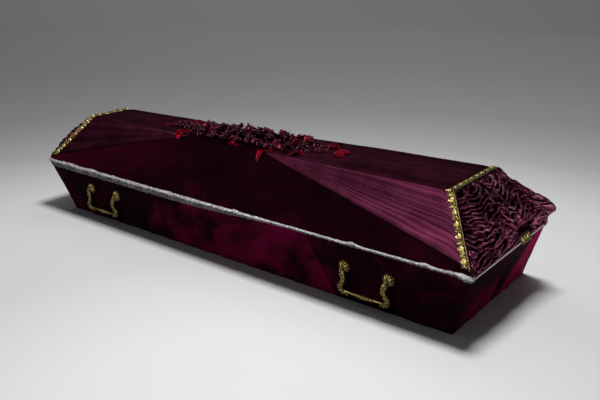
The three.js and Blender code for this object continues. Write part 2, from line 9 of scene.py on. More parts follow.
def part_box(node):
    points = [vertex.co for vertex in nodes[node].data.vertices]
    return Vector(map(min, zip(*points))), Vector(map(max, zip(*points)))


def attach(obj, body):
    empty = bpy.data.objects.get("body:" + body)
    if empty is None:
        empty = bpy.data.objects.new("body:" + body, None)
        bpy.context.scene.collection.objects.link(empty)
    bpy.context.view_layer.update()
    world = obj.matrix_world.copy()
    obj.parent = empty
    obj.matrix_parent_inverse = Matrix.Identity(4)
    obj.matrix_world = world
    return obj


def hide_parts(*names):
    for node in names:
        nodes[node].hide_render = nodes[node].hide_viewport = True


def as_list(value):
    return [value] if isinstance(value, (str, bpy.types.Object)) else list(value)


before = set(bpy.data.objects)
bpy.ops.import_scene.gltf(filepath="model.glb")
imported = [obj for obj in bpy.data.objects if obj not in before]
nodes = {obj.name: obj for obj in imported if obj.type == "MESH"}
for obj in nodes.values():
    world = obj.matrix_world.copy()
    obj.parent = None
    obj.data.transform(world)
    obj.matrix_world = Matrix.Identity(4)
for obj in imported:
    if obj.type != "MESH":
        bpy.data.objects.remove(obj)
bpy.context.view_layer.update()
print("frame loaded,", len(nodes), "nodes")


# Where things are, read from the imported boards. Metres, +X to the head end, +Z up.

def corner(node, x, y, z):  # a node's farthest corner in one direction
    way = Vector((x, y, z))
    return np.array(max((vert.co for vert in nodes[node].data.vertices), key=way.dot))


# The right side's corners at the head end, 1, and at the foot end, -1.
rims = {1: corner("case_right_board", 1, 1, 1), -1: corner("case_right_board", -1, 0.5, 1)}
floors = {1: corner("case_right_board", 0.5, 0.3, -9), -1: corner("case_right_board", -0.5, 0.3, -9)}
ridges = {1: corner("lid_top_board", 1, 1, 9), -1: corner("lid_top_board", -1, 0.5, 9)}
rim = float(rims[1][2])
rimLength = rims[1][0] - rims[-1][0]
rimSpread = rims[1][1] - rims[-1][1]
taper = float(rimSpread / rimLength)
lidTop = float(ridges[1][2])
lidRise = lidTop - rim
slopeRun = float(rims[1][1] - ridges[1][1] - rimSpread * (rims[1][0] - ridges[1][0]) / rimLength)
slopeGrade = lidRise / slopeRun
caseSideRun = float(rims[-1][1] - floors[-1][1] + taper * (floors[-1][0] - rims[-1][0]))
sides = (("left", -1), ("right", 1))
ends = (("head", 1), ("foot", -1))
clothFace = 0.0023  # the outer face of the cloth, from the boards
clothThickness = 0.002


def halfWidth(x):  # of the rim
    return rims[-1][1] + taper * (x - rims[-1][0])


def lerp(a, b, share):
    return a + (b - a) * share


def smooth(x, low=0.0, high=1.0):  # from 0 at low to 1 at high, with soft ends
    t = np.clip((x - low) / (high - low), 0, 1)
    return t * t * (3 - 2 * t)


def softMin(a, b, blend):  # the lower of two heights, rounded where they cross
    h = np.clip(0.5 + 0.5 * (b - a) / blend, 0, 1)
    return b * (1 - h) + a * h - blend * h * (1 - h)


def ripple(x, y, seed):  # smooth noise from -1 to 1, one bump to a unit
    lattice = np.random.default_rng(seed).uniform(-1, 1, (64, 64))
    i = np.floor(x).astype(int)
    j = np.floor(y).astype(int)
    a = smooth(x - i)
    b = smooth(y - j)
    low = lerp(lattice[i % 64, j % 64], lattice[(i + 1) % 64, j % 64], a)
    high = lerp(lattice[i % 64, (j + 1) % 64], lattice[(i + 1) % 64, (j + 1) % 64], a)
    return lerp(low, high, b)


def endWall(sign, z, lid=True):  # x of an end wall of the lid or the case at a height
    edge = rims[sign][0]
    if lid:
        return edge + (ridges[sign][0] - edge) * (z - rim) / lidRise
    return edge + (floors[sign][0] - edge) * (rim - z) / rim


def overLid(x, y, distance, blend=0.006):  # height of the lid's slopes and top, moved out by a distance
    grade = slopeGrade * math.sqrt(1 + taper ** 2)
    slope = rim + (halfWidth(x) - np.abs(y)) * slopeGrade + distance * math.sqrt(1 + grade ** 2)
    return softMin(slope, lidTop + distance, blend)


# Making pieces

def newObject(name, data):
    made = bpy.data.objects.new(name, data)
    bpy.context.scene.collection.objects.link(made)
    return made


def meshFrom(bm, name):
    mesh = bpy.data.meshes.new(name)
    bm.to_mesh(mesh)
    bm.free()
    return mesh


def finishPiece(mesh, slot, node, thickness=0.0):  # the mesh's name is the piece's
    piece = newObject(mesh.name, mesh)
    mesh.materials.append(finishes[slot])
    mesh.shade_smooth()
    if thickness:
        giveThickness(piece, thickness)
    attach(piece, "root")
    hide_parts(node)
    return piece


def giveThickness(piece, thickness):  # inwards from the face
    wall = piece.modifiers.new("cloth thickness", "SOLIDIFY")
    wall.thickness = thickness
    wall.offset = -1


def gridMesh(name, columns, rows, place, spread, values=None):
    # A grid of cells laid over a surface. place(u, v) gives the points, spread its width and length.
    bm = bmesh.new()
    bmesh.ops.create_grid(bm, x_segments=columns, y_segments=rows, size=1)
    mesh = meshFrom(bm, name)
    flat = np.empty(len(mesh.vertices) * 3, np.float32)
    mesh.vertices.foreach_get("co", flat)
    u = (flat[0::3] + 1) / 2
    v = (flat[1::3] + 1) / 2
    points = place(u.astype(float), v.astype(float))
    mesh.vertices.foreach_set("co", np.ascontiguousarray(points, np.float32).ravel())
    layer = mesh.uv_layers.new(name="cloth")
    corners = np.empty(len(mesh.loops), np.int32)
    mesh.loops.foreach_get("vertex_index", corners)
    laid = np.stack([u[corners] * spread[0], v[corners] * spread[1]], 1)
    layer.data.foreach_set("uv", laid.astype(np.float32).ravel())
    for key, function in (values or {}).items():
        layer = mesh.attributes.new(key, "FLOAT", "POINT")
        layer.data.foreach_set("value", function(u, v).astype(np.float32))
    faceOut(mesh)
    return mesh


def faceOut(mesh):  # turn the faces away from the coffin's middle line
    bm = bmesh.new()
    bm.from_mesh(mesh)
    outward = sum(face.normal.dot(face.calc_center_median() * Vector((0.2, 1, 1)) - Vector((0, 0, 0.1)))
                  * face.calc_area() for face in bm.faces)
    if outward < 0:
        bmesh.ops.reverse_faces(bm, faces=bm.faces)
    bm.to_mesh(mesh)
    bm.free()


def stack(x, y, z):
    return np.stack([x, y, z], 1)


# Materials

def tint(red, green, blue):  # a colour as a screen shows it, 0 to 255
    def linear(value):
        share = value / 255
        return share / 12.92 if share <= 0.04045 else ((share + 0.055) / 1.055) ** 2.4
    return (linear(red), linear(green), linear(blue), 1.0)


def nodeMaths(operation, reflected=False):
    def result(wire, other):
        inputs = {0: other, 1: wire} if reflected else {0: wire, 1: other}
        return wire.paint.node("ShaderNodeMath", {"operation": operation}, inputs)
    return result


class Wire:  # a node's output, so that shader sums read as sums
    def __init__(self, paint, socket):
        self.paint = paint
        self.socket = socket

    __add__ = nodeMaths("ADD")
    __radd__ = nodeMaths("ADD", reflected=True)
    __sub__ = nodeMaths("SUBTRACT")
    __rsub__ = nodeMaths("SUBTRACT", reflected=True)
    __mul__ = nodeMaths("MULTIPLY")
    __rmul__ = nodeMaths("MULTIPLY", reflected=True)


class Paint:  # one material
    def __init__(self, name, **constants):
        self.material = bpy.data.materials.new(name)
        self.material.use_nodes = True
        self.tree = self.material.node_tree
        self.shader = self.tree.nodes["Principled BSDF"]
        for key, value in constants.items():
            self.shader.inputs[key.replace("_", " ")].default_value = value

    def node(self, kind, settings=None, inputs=None, output=0):  # one output of a new node
        made = self.tree.nodes.new(kind)
        for key, value in (settings or {}).items():
            setattr(made, key, value)
        for key, value in (inputs or {}).items():
            self.feed(made.inputs[key], value)
        return Wire(self, made.outputs[output])

    def feed(self, socket, value):
        if isinstance(value, Wire):
            self.tree.links.new(value.socket, socket)
        else:
            socket.default_value = value

    def set(self, **wires):
        for key, value in wires.items():
            self.feed(self.shader.inputs[key.replace("_", " ")], value)

    def where(self, output="Object"):
        return self.node("ShaderNodeTexCoord", output=output)

    def stretched(self, scale):
        return self.node("ShaderNodeMapping", None, {"Vector": self.where(), "Scale": scale})

    def noise(self, scale, detail=3.0, roughness=0.5, at=None, distortion=0.0):
        inputs = {"Scale": scale, "Detail": detail, "Roughness": roughness, "Distortion": distortion,
                  "Vector": at or self.where()}
        return self.node("ShaderNodeTexNoise", None, inputs)

    def between(self, wire, low, high):  # 0 at low, 1 at high
        return self.node("ShaderNodeMapRange", {"interpolation_type": "SMOOTHSTEP"},
                         {"Value": wire, "From Min": low, "From Max": high})

    def mix(self, factor, a, b, blend="MIX"):
        settings = {"data_type": "RGBA", "blend_type": blend}
        return self.node("ShaderNodeMix", settings, {0: factor, 6: a, 7: b}, output=2)

    def value(self, name):  # a number stored on the mesh
        return self.node("ShaderNodeAttribute", {"attribute_name": name}, output="Fac")

    def ramp(self, wire, stops):  # a colour for each place on the way from 0 to 1
        ramp = self.node("ShaderNodeValToRGB", None, {0: wire})
        elements = ramp.socket.node.color_ramp.elements
        while len(elements) < len(stops):
            elements.new(0.5)
        for element, (position, color) in zip(elements, stops):
            element.position = position
            element.color = color
        return ramp

    def bump(self, height, distance, strength):
        inputs = {"Height": height, "Distance": distance, "Strength": strength}
        self.set(Normal=self.node("ShaderNodeBump", None, inputs))


def velvetFinish(name, dark, bright, share):
    paint = Paint(name, Roughness=0.8, Specular_IOR_Level=0.02)
    streaks = paint.noise(1.0, 4.0, 0.55, paint.stretched((5.0, 5.0, 9.0)), 1.2)
    patches = paint.noise(3.2, 5.0, 0.62, distortion=0.8)
    crushed = streaks * 0.5 + patches * 0.5
    lying = paint.between(crushed, 0.62 - share, 0.86 - share)  # how the pile lies
    pile = paint.noise(900.0, 2.0, 0.6)
    color = paint.mix(lying, tint(*dark), tint(*bright))
    sheenShare = paint.value("paintedSheen") * paint.between(crushed, 0.3, 0.55)  # painted sheen, where the pile would catch the light
    # The painted sheen's colour is mixed into the velvet here.
    paint.set(Base_Color=paint.mix(sheenShare, color, tint(150, 2, 74)))
    paint.bump(pile + patches * 1.5, 0.0006, 0.5)
    return paint.material


def satinFinish(name, colors, roughness, metallic, crestHighlight):
    # edge is the colour of the painted crest highlight, and tints the gloss
    deep, light, edge = (tint(*color) for color in colors)
    paint = Paint(name, Metallic=metallic, Specular_Tint=edge, Specular_IOR_Level=0.15)
    threads = paint.noise(1.0, 2.0, 0.5, paint.stretched((90.0, 900.0, 900.0)))
    shade = paint.noise(14.0, 4.0, 0.5)
    tone = paint.between(shade * 0.7 + threads * 0.3, 0.3, 0.7)
    high = paint.between(paint.value("high"), 0.05, 0.7)  # painted shade: the valleys of the folds are painted dark
    color = paint.mix(high, tint(9, 2, 6), paint.mix(tone, deep, light))
    color = paint.mix(paint.value("crimson"), color, tint(128, 2, 30))
    paintedCrest = paint.between(paint.value("high"), 0.76, 1.0) * crestHighlight  # and a painted highlight on their crests
    paint.set(Base_Color=paint.mix(paintedCrest, color, edge), Roughness=roughness + tone * 0.1)
    weave = paint.node("ShaderNodeTexWave", {"bands_direction": "DIAGONAL"},
                       {"Vector": paint.where("UV"), "Scale": 900.0, "Distortion": 1.0})
    paint.bump(weave * 0.4 + threads, 0.0002, 0.35)
    return paint.material


def threadFinish(name, colors, roughness, knots):  # a braid of metal thread
    paint = Paint(name)
    grain = paint.noise(650.0, 2.0, 0.7)
    worn = paint.noise(45.0, 3.0, 0.6)
    knot = paint.node("ShaderNodeTexVoronoi", None, {"Vector": paint.where(), "Scale": knots}, "Distance")
    high = paint.value("high")
    # Painted shade darkens the colour between the knots of the bump; the high value lightens it.
    tone = paint.between(high * 0.9 + grain * 0.3 - knot * 0.5, 0.05, 0.85)
    deep, light = (tint(*color) for color in colors)
    paint.set(Base_Color=paint.mix(tone, deep, light), Metallic=0.55 + tone * 0.4,
              Roughness=roughness + worn * 0.25 - high * 0.12)
    paint.bump(grain * 0.5 - knot, 0.0011, 0.8)
    return paint.material


def antiqueGold():
    paint = Paint("antique gold moulding", Metallic=0.9, Coat_Roughness=0.3)
    age = paint.noise(120.0, 4.0, 0.65)
    pits = paint.node("ShaderNodeNewGeometry", output="Pointiness")
    hollow = paint.between(pits, 0.45, 0.57)
    color = paint.mix(hollow, tint(20, 15, 5), tint(178, 154, 92))
    color = paint.mix(paint.between(age, 0.4, 0.7) * 0.6, color, tint(64, 54, 24))
    paint.set(Base_Color=color, Roughness=0.2 + age * 0.24)
    paint.bump(age, 0.0005, 0.4)
    return paint.material


def steelFinish():
    paint = Paint("bright steel", Metallic=1.0)
    grain = paint.noise(700.0, 2.0, 0.6)
    color = paint.mix(grain, tint(120, 118, 112), tint(190, 188, 182))
    paint.set(Base_Color=color, Roughness=0.28 + grain * 0.2)
    paint.bump(grain, 0.0002, 0.3)
    return paint.material


def boardFinish():
    paint = Paint("planed softwood", Specular_IOR_Level=0.3)
    grain = paint.noise(1.0, 5.0, 0.6, paint.stretched((2.0, 26.0, 26.0)), 1.0)
    rings = paint.node("ShaderNodeTexWave", {"bands_direction": "Y"},
                       {"Vector": paint.stretched((0.35, 6.0, 6.0)), "Scale": 3.0, "Distortion": 6.0,
                        "Detail": 3.0, "Detail Scale": 0.7})
    tone = paint.between(grain * 0.5 + rings * 0.5, 0.25, 0.8)
    color = paint.mix(tone, tint(203, 170, 122), tint(160, 118, 72))
    paint.set(Base_Color=color, Roughness=0.6 + grain * 0.2)
    paint.bump(grain, 0.0008, 0.35)
    return paint.material


finishes = {  # by the record's slots
    "dark_velvet": velvetFinish("dark velvet", (14, 1, 5), (50, 1, 22), 0.13),
    "burgundy_velvet": velvetFinish("burgundy velvet", (17, 1, 6), (74, 2, 33), 0.2),
    "pleated_satin": satinFinish("pleated plum satin", ((74, 27, 45), (104, 42, 68), (168, 92, 122)),
                                 0.36, 0.75, 0.8),
    "gathered_satin": satinFinish("gathered plum satin", ((92, 40, 60), (160, 84, 112), (214, 160, 180)),
                                  0.17, 0.85, 0.45),
    "rose_satin": satinFinish("dark rose satin", ((34, 5, 17), (98, 22, 48), (220, 140, 166)),
                              0.15, 0.8, 0.36),
    "leaf_satin": satinFinish("red leaf satin", ((76, 1, 14), (172, 6, 40), (236, 110, 134)),
                              0.24, 0.6, 0.18),
    "gold_braid": threadFinish("gold thread braid", ((66, 46, 14), (255, 228, 146)), 0.22, 330.0),
    "silver_braid": threadFinish("silver thread braid", ((62, 58, 64), (240, 236, 240)), 0.42, 420.0),
    "handle": antiqueGold(),
    "nail": steelFinish(),
    "board_wood": boardFinish(),
}
print("materials made")


# Boards and nails keep their CAD meshes.
for nodeName, node in nodes.items():
    if nodeName.endswith("_board") or "_nail_" in nodeName:
        node.data.materials.clear()
        node.data.materials.append(finishes["nail" if "_nail_" in nodeName else "board_wood"])


# Velvet on the case

caseCloth = {
    "hem": 0.0006,  # above the ground
    "hemWave": 0.0016,
    "flare": 0.005,
    "flareReach": 0.16,  # the share of the height up to which the cloth stands off
    "cornerRadius": 0.004,
    "seams": {1: (0.413, 0.533), -1: (-0.405, -0.372)},  # x at the rim and at the floor
    "turns": {1: 0.5, -1: 0.62},  # the share of an end piece that lies on the long side
    "crush": 0.0005,
    "seamGap": 0.0003,
}


def onCase(x, z, side, out):  # a point of a long wall of the case
    lean = caseSideRun / rim
    y = halfWidth(x) - (rim - z) * lean + out * math.sqrt(1 + lean ** 2 + taper ** 2)
    return stack(x, side * y, z + 0 * x)


def onCaseEnd(end, y, z, out):
    lean = (abs(float(rims[1][0])) - abs(float(floors[end][0]))) / rim
    x = abs(endWall(end, z, lid=False)) + out * math.sqrt(1 + lean ** 2)
    return stack(end * x, y, z + 0 * y)


def caseHem(along, seed):
    return caseCloth["hem"] + caseCloth["hemWave"] * np.maximum(0, ripple(along * 14, along * 0 + seed, seed))


def hemFlare(along, v, seed):  # the cloth stands off a little where it turns under
    wave = np.maximum(0, ripple(along * 30, along * 0 + seed, seed))
    return caseCloth["flare"] * wave * np.clip(1 - v / caseCloth["flareReach"], 0, 1) ** 2


def caseSeam(end, v):  # x of a seam between two velvets, from the floor to the rim
    high, low = caseCloth["seams"][end]
    return lerp(low, high, v)


def caseMiddle(side):
    def place(u, v):
        x = lerp(caseSeam(-1, v) + caseCloth["seamGap"], caseSeam(1, v) - caseCloth["seamGap"], u)
        z = lerp(caseHem(x, 3), rim, v)
        out = clothFace + caseCloth["crush"] * ripple(x * 40, z * 40, 11) + hemFlare(x, v, 13)
        return onCase(x, z, side, out)
    return place


def caseEnd(side, end):
    # From the seam on the long side, round the corner, to the middle of the end.
    turn = caseCloth["turns"][end]
    radius = caseCloth["cornerRadius"]

    def place(u, v):
        start = caseSeam(end, v) + end * caseCloth["seamGap"]
        grain = u * 0.6
        z = lerp(caseHem(grain, 5 + end), rim, v)
        out = clothFace + caseCloth["crush"] * ripple(u * 22, z * 40, 21 + end) + hemFlare(grain, v, 15 + end)
        cornerX = onCaseEnd(end, 0 * u, z, out)[:, 0]
        cornerY = onCase(cornerX, z, 1, out)[:, 1]
        alongSide = np.clip(u / turn, 0, 1)
        alongEnd = np.clip((u - turn) / (1 - turn), 0, 1)
        sideX = lerp(start, cornerX, alongSide)
        onSide = onCase(sideX, z, 1, out)
        endY = lerp(cornerY, 0.0002, alongEnd)
        onEnd = onCaseEnd(end, endY, z, out)
        points = np.where((u < turn)[:, None], onSide, onEnd)
        away = np.where(u < turn, np.abs(cornerX - sideX), cornerY - endY)
        pull = radius * 0.3 * np.clip(1 - away / radius, 0, 1) ** 2
        points[:, 0] -= end * pull
        points[:, 1] -= pull
        points[:, 1] *= side
        return points
    return place


def bunched(function, turn, power=1.6):  # gives the columns next to a corner a finer spacing
    def place(u, v):
        near = np.where(u < turn, turn - turn * ((turn - u) / turn) ** power,
                        turn + (1 - turn) * ((u - turn) / (1 - turn)) ** power)
        return function(near, v)
    return place


def paintedEndSheen(side, end, turn):
    # On the ends a sheen is painted into the pile's colour: bright on the right half, and only low down on
    # the left half.
    def glow(u, v):
        toMiddle = np.clip((u - turn) / (1 - turn), 0, 1)
        onEnd = smooth(u, turn, turn + 0.02)
        if side > 0:
            bright = smooth(0.95 - 0.5 * v - toMiddle, -0.05, 0.12) * (0.75 + 0.25 * smooth(v))
        else:
            bright = 0.4 * smooth(1 - v, 0.3, 1.0) * smooth(toMiddle, 0.05, 0.8)
        return onEnd * bright * (1.0 if end > 0 else 0.5)
    return glow


def makeCaseVelvet():
    for label, side in sides:
        name = f"{label}_middle_velvet"
        mesh = gridMesh(name, 150, 34, caseMiddle(side), (0.87, 0.19))
        piece = finishPiece(mesh, "burgundy_velvet", f"case_{name}", clothThickness)
        for place, end in ends:
            name = f"{label}_{place}_velvet"
            turn = caseCloth["turns"][end]
            mesh = gridMesh(name, 120, 30, bunched(caseEnd(side, end), turn), (0.78, 0.19),
                            {"paintedSheen": paintedEndSheen(side, end, turn)})
            piece = finishPiece(mesh, "dark_velvet", f"case_{name}", clothThickness)


makeCaseVelvet()
print("case velvet made")


# Velvet and pleated satin on the lid

lidCloth = {
    "fans": {1: 0.125, -1: -0.25},  # where the fans start on the ridges
    "fanCorner": 0.015,  # their lower corner, above the rim
    "gather": 0.024,
    "velvetHem": 0.0006,
    "seam": 0.018,  # how far the velvet runs on under the fans
    "flatPart": 0.36,  # the share of the velvet's rows that lies on the top
    "strip": 0.93,  # the share of the other rows down to the fans' corners
    "crush": 0.0004,
    "fanLift": 0.0011,
    "fanThickness": 0.0016,
    "fanCuts": {1: (0.9, 0.66), -1: (0.78, 0.42)},  # their flat lengths and areas
    "endPleats": 17,
    "topPleats": 22,
    "pleatCells": 7,
    "pleatHeight": 0.0042,
    "press": (0.028, 0.02),
}


def fanCorner(sign):
    z = rim + lidCloth["fanCorner"]
    x = float(endWall(sign, z))
    return np.array([x, halfWidth(x) - lidCloth["fanCorner"] / slopeGrade])


def ridgeHalf(x):
    return halfWidth(x) - slopeRun


def velvetEnd(end, share, below):
    # x of the velvet's end: under the fan from the ridge down, and below the fan's corner at the lid's end.
    under = lidCloth["seam"] * (1 - 0.9 * smooth(share, 0.85, 1.0))
    x = lerp(lidCloth["fans"][end], fanCorner(end)[0], share) + end * under
    atEnd = endWall(end, lerp(rim + lidCloth["fanCorner"], rim + lidCloth["velvetHem"], below))
    return np.where(below > 0, lerp(x, atEnd, smooth(below, 0, 0.15)), x)


def makeLidVelvet():
    flatPart = lidCloth["flatPart"]
    strip = lidCloth["strip"]

    def place(u, v):  # v runs over the lid from the left rim to the right one
        spread = np.abs(2 * v - 1)
        side = np.sign(2 * v - 1)
        onTop = np.clip(spread / flatPart, 0, 1)
        down = np.clip((spread - flatPart) / (1 - flatPart), 0, 1)
        share = np.clip(down / strip, 0, 1)
        below = np.clip((down - strip) / (1 - strip), 0, 1)
        x = lerp(velvetEnd(-1, share, below), velvetEnd(1, share, below), u)
        fall = lidRise - lidCloth["fanCorner"]
        drop = share * fall + below * (lidCloth["fanCorner"] - lidCloth["velvetHem"])
        y = np.where(down > 0, ridgeHalf(x) + drop / slopeGrade, ridgeHalf(x) * onTop)
        crush = lidCloth["crush"] * ripple(x * 30, y * 30, 31)
        return stack(x, side * y, overLid(x, y, clothFace + crush))

    # A little of the sheen colour everywhere, and a painted sheen on the left slope towards the foot end.
    def paintedSheen(u, v):
        return 0.018 + 0.05 * smooth(0.4 - u, 0.0, 0.35) * smooth(0.5 - v, 0.2, 0.4)

    mesh = gridMesh("lid_velvet", 130, 110, place, (1.9, 0.72), {"paintedSheen": paintedSheen})
    piece = finishPiece(mesh, "dark_velvet", "lid_middle_velvet", clothThickness)


def pleatProfile(share, count, seed):
    # Knife pleats of uneven width: how far along each stands over its place, how high, and its painted shade,
    # dark in the fold lines and varying at random from pleat to pleat.
    rng = np.random.default_rng(seed)
    widths = rng.uniform(0.3, 1.9, count)
    widths[0] = 2.4
    tones = rng.uniform(0.5, 1.0, count)
    edges = np.concatenate([[0], np.cumsum(widths)]) / widths.sum()
    index = np.clip(np.searchsorted(edges, share, side="right") - 1, 0, count - 1)
    width = edges[index + 1] - edges[index]
    t = (share - edges[index]) / width
    steps = [0, 0.12, 0.5, 0.8, 0.9, 0.96, 1]
    height = np.interp(t, steps, [0, 0.35, 0.75, 1, 0.9, 0.35, 0])
    over = np.interp(t, steps, [0, -0.02, 0, 0.12, 0.16, 0.08, 0])
    shade = np.interp(t, steps, [0.1, 0.75, 1, 1, 0.95, 0.4, 0])
    rise = 0.5 + 0.5 * np.clip(width * count, 0.4, 1.6)
    return over * width, height * rise, shade * tones[index]


def makeFan(end, sign):
    start = lidCloth["fans"][sign]
    low = fanCorner(sign)
    ridgeEnd = ridges[sign][:2]
    apex = np.array([start, ridgeHalf(start)])
    seam = (low - apex) / np.linalg.norm(low - apex)
    cells = lidCloth["pleatCells"]
    slopeCells = lidCloth["endPleats"] * cells
    topCells = lidCloth["topPleats"] * cells
    columns = 2 * slopeCells + topCells
    slopeShare = slopeCells / columns
    gather = lidCloth["gather"]

    def pleats(u):
        left = u < slopeShare
        right = u > 1 - slopeShare
        share = np.clip(np.where(left, u, 1 - u) / slopeShare, 0, 1)
        across = np.clip((u - slopeShare) / (1 - 2 * slopeShare), 0, 1)
        onSlope = left | right
        slope = pleatProfile(share, lidCloth["endPleats"], 7 + sign)
        top = pleatProfile(across, lidCloth["topPleats"], 17 + sign)
        high, shade = (np.where(onSlope, slope[k], top[k]) for k in (1, 2))
        side = np.where(left, -1.0, 1.0)
        return onSlope, side, share, slope[0], np.clip(across + top[0], 0, 1), high, shade

    def place(u, v):
        onSlope, side, share, over, across, high, _ = pleats(u)
        share = np.clip(share + over * v, 0, 1)
        innerX = apex[0] + seam[0] * gather * (1 - share)
        innerY = apex[1] + seam[1] * gather * (1 - share)
        outerX = lerp(low[0], ridgeEnd[0], share)
        outerY = lerp(low[1], ridgeEnd[1], share)
        topY = lerp(lerp(-apex[1], apex[1], across), lerp(-ridgeEnd[1], ridgeEnd[1], across), v)
        x = np.where(onSlope, lerp(innerX, outerX, v), lerp(apex[0], ridgeEnd[0], v))
        y = np.where(onSlope, side * lerp(innerY, outerY, v), topY)
        length = np.where(onSlope, np.hypot(outerX - innerX, outerY - innerY), abs(ridgeEnd[0] - apex[0]))
        press, ease = lidCloth["press"]
        full = smooth((1 - v) * length, press * 0.6, press + ease)
        grown = np.where(onSlope, 0.12 + 0.88 * smooth(v, 0.0, 0.45), 0.45 + 0.55 * smooth(v, 0.0, 0.3))
        wave = 1 + 0.25 * ripple(x * 9, y * 60, 41)
        distance = clothFace + lidCloth["fanLift"] + lidCloth["pleatHeight"] * high * full * grown * wave
        return stack(x, y, overLid(x, y, distance))

    # Painted shade in the fold lines and over the foot end, and a painted highlight on the slopes beside the
    # foot end's ridge.
    def shading(u, v):
        onSlope, _, share, _, _, _, shade = pleats(u)
        ridgeGlow = onSlope * smooth(share, 0.55, 0.9) * smooth(1 - v, 0.2, 0.6)
        light = 0.75 if sign > 0 else lerp(0.56, 1.0, ridgeGlow)  # the foot end faces away from the light
        return light * lerp(1.0, shade, 0.25 + 0.75 * smooth(v, 0.0, 0.5))

    mesh = gridMesh(f"{end}_fan", columns, 60, place, (0.78, 0.85), {"high": shading})
    piece = finishPiece(mesh, "pleated_satin", f"lid_{end}_pleated_satin", lidCloth["fanThickness"])
    length, area = lidCloth["fanCuts"][sign]


makeLidVelvet()
for end, sign in ends:
    makeFan(end, sign)
print("lid velvet and pleated satin made")


# Gathered satin over the ends of the lid. A sheet cut larger than the end is sewn to its edges, and
# settles: its threads are drawn to their length over and over, and the spare cloth buckles into folds.

# The swell is how far the satin stands out, in millimetres, from the rim up to the top, at some places
# across. It sags between its edges, and bunches up at the head's right corner.
gathers = {
    "heights": (0, 0.12, 0.25, 0.38, 0.5, 0.72, 1),
    "places": (0, 0.5, 0.85, 1),
    "head": {
        "swell": ((2, 3, 4, 5, 5, 4, 2), (10, 20, 26, 28, 26, 16, 3), (8, 24, 44, 46, 38, 22, 4),
                  (4, 22, 74, 80, 56, 24, 4)),
        "tail": (0.15, 0.55, -0.55),  # how the bunch at the right leans, for each metre that it stands out
        "seed": 5,
    },
    "foot": {
        "swell": ((10, 16, 24, 26, 24, 16, 2), (12, 22, 26, 26, 24, 14, 2), (12, 18, 24, 26, 24, 14, 2),
                  (10, 16, 24, 26, 24, 16, 2)),
        "tail": (0, 0, 0),
        "seed": 9,
    },
    "noiseCells": (300, 700),
    "noiseFineness": 1000,  # cells to a metre
    "noiseBelow": 20,  # rows of cells below the rim
    "columns": 112,
    "rows": 100,
    "spare": (1.22, 2.3),  # the cloth's length to what it covers, across and up
    "uneven": (0.25, 0.5),  # how much that varies
    "pitch": (0.008, 0.019),  # the shortest and the longest from fold to fold
    "along": 1.3,  # how strictly the folds run across the coffin
    "wander": (0.026, 0.026),  # how far the folds stray across and up
    "layer": 0.016,  # how thick the folds stand
    "edge": 0.022,  # how soon the swell rises from the seams
    "press": 0.012,  # how soon it rises beside the braid tab
    "flatEdge": 0.01,  # how soon the folds rise from the seams
    "stitch": 3,  # threads from one stitch to the next
    "rounds": 140,
    "begin": 0.75,  # the share of its length that the cloth has in the first round
    "drift": 0.5,  # the share of a round's move that goes on in the next
    "stiff": 0.03,
    "sag": 0.000033,
    "droop": 0.002,  # how far a fold may hang below the lower seam
    "hem": 0.0043,
    "thickness": 0.0009,
}


def creases(rng):
    # Noise of a few crease widths, on a fine grid.
    rows, columns = gathers["noiseCells"]
    waves = np.fft.fftfreq(columns, 1 / gathers["noiseFineness"])[None, :]
    heights = np.fft.fftfreq(rows, 1 / gathers["noiseFineness"])[:, None]
    pitch = 1 / np.maximum(np.hypot(waves, heights), 1e-9)
    short, long = gathers["pitch"]
    keep = np.exp(-2 * ((pitch - (short + long) / 2) / (long - short)) ** 2)
    keep = keep * (np.abs(heights) * pitch) ** gathers["along"]
    field = np.real(np.fft.ifft2(np.fft.fft2(rng.standard_normal((rows, columns))) * keep))
    return field / (1.6 * field.std())


def sampled(field, across, up):  # metres, from the middle of the field's lower edge
    rows, columns = field.shape
    x = np.clip(across * gathers["noiseFineness"] + columns / 2, 0, columns - 1.001)
    y = np.clip(up * gathers["noiseFineness"] + gathers["noiseBelow"], 0, rows - 1.001)
    i = x.astype(int)
    j = y.astype(int)
    low, high = (lerp(field[k, i], field[k, i + 1], x - i) for k in (j, j + 1))
    return lerp(low, high, y - j)


def threadSets(rows, columns):
    # Pairs of places that a thread joins, in sets where no place comes twice, and each thread's strength.
    sets = []
    for start in (0, 1):
        sets.append((np.s_[:, start:columns - 1:2], np.s_[:, start + 1:columns:2], 1.0))
        sets.append((np.s_[start:rows - 1:2, :], np.s_[start + 1:rows:2, :], 1.0))
        sets.append((np.s_[:-1, start:columns - 1:2], np.s_[1:, start + 1:columns:2], 0.35))
        sets.append((np.s_[1:, start:columns - 1:2], np.s_[:-1, start + 1:columns:2], 0.35))
    for start in range(4):
        sets.append((np.s_[:, start:columns - 2:4], np.s_[:, start + 2:columns:4], gathers["stiff"]))
        sets.append((np.s_[start:rows - 2:4, :], np.s_[start + 2:rows:4, :], gathers["stiff"]))
    return sets


def drawThreads(sheet, cut, free, sets, growth):
    for first, second, strength in sets:
        way = sheet[second] - sheet[first]
        want = np.linalg.norm(cut[second] - cut[first], axis=-1, keepdims=True) * growth
        length = np.linalg.norm(way, axis=-1, keepdims=True) + 1e-9
        move = strength * (1 - want / length) * way / (free[first] + free[second] + 1e-9)
        sheet[first] += free[first] * move
        sheet[second] -= free[second] * move


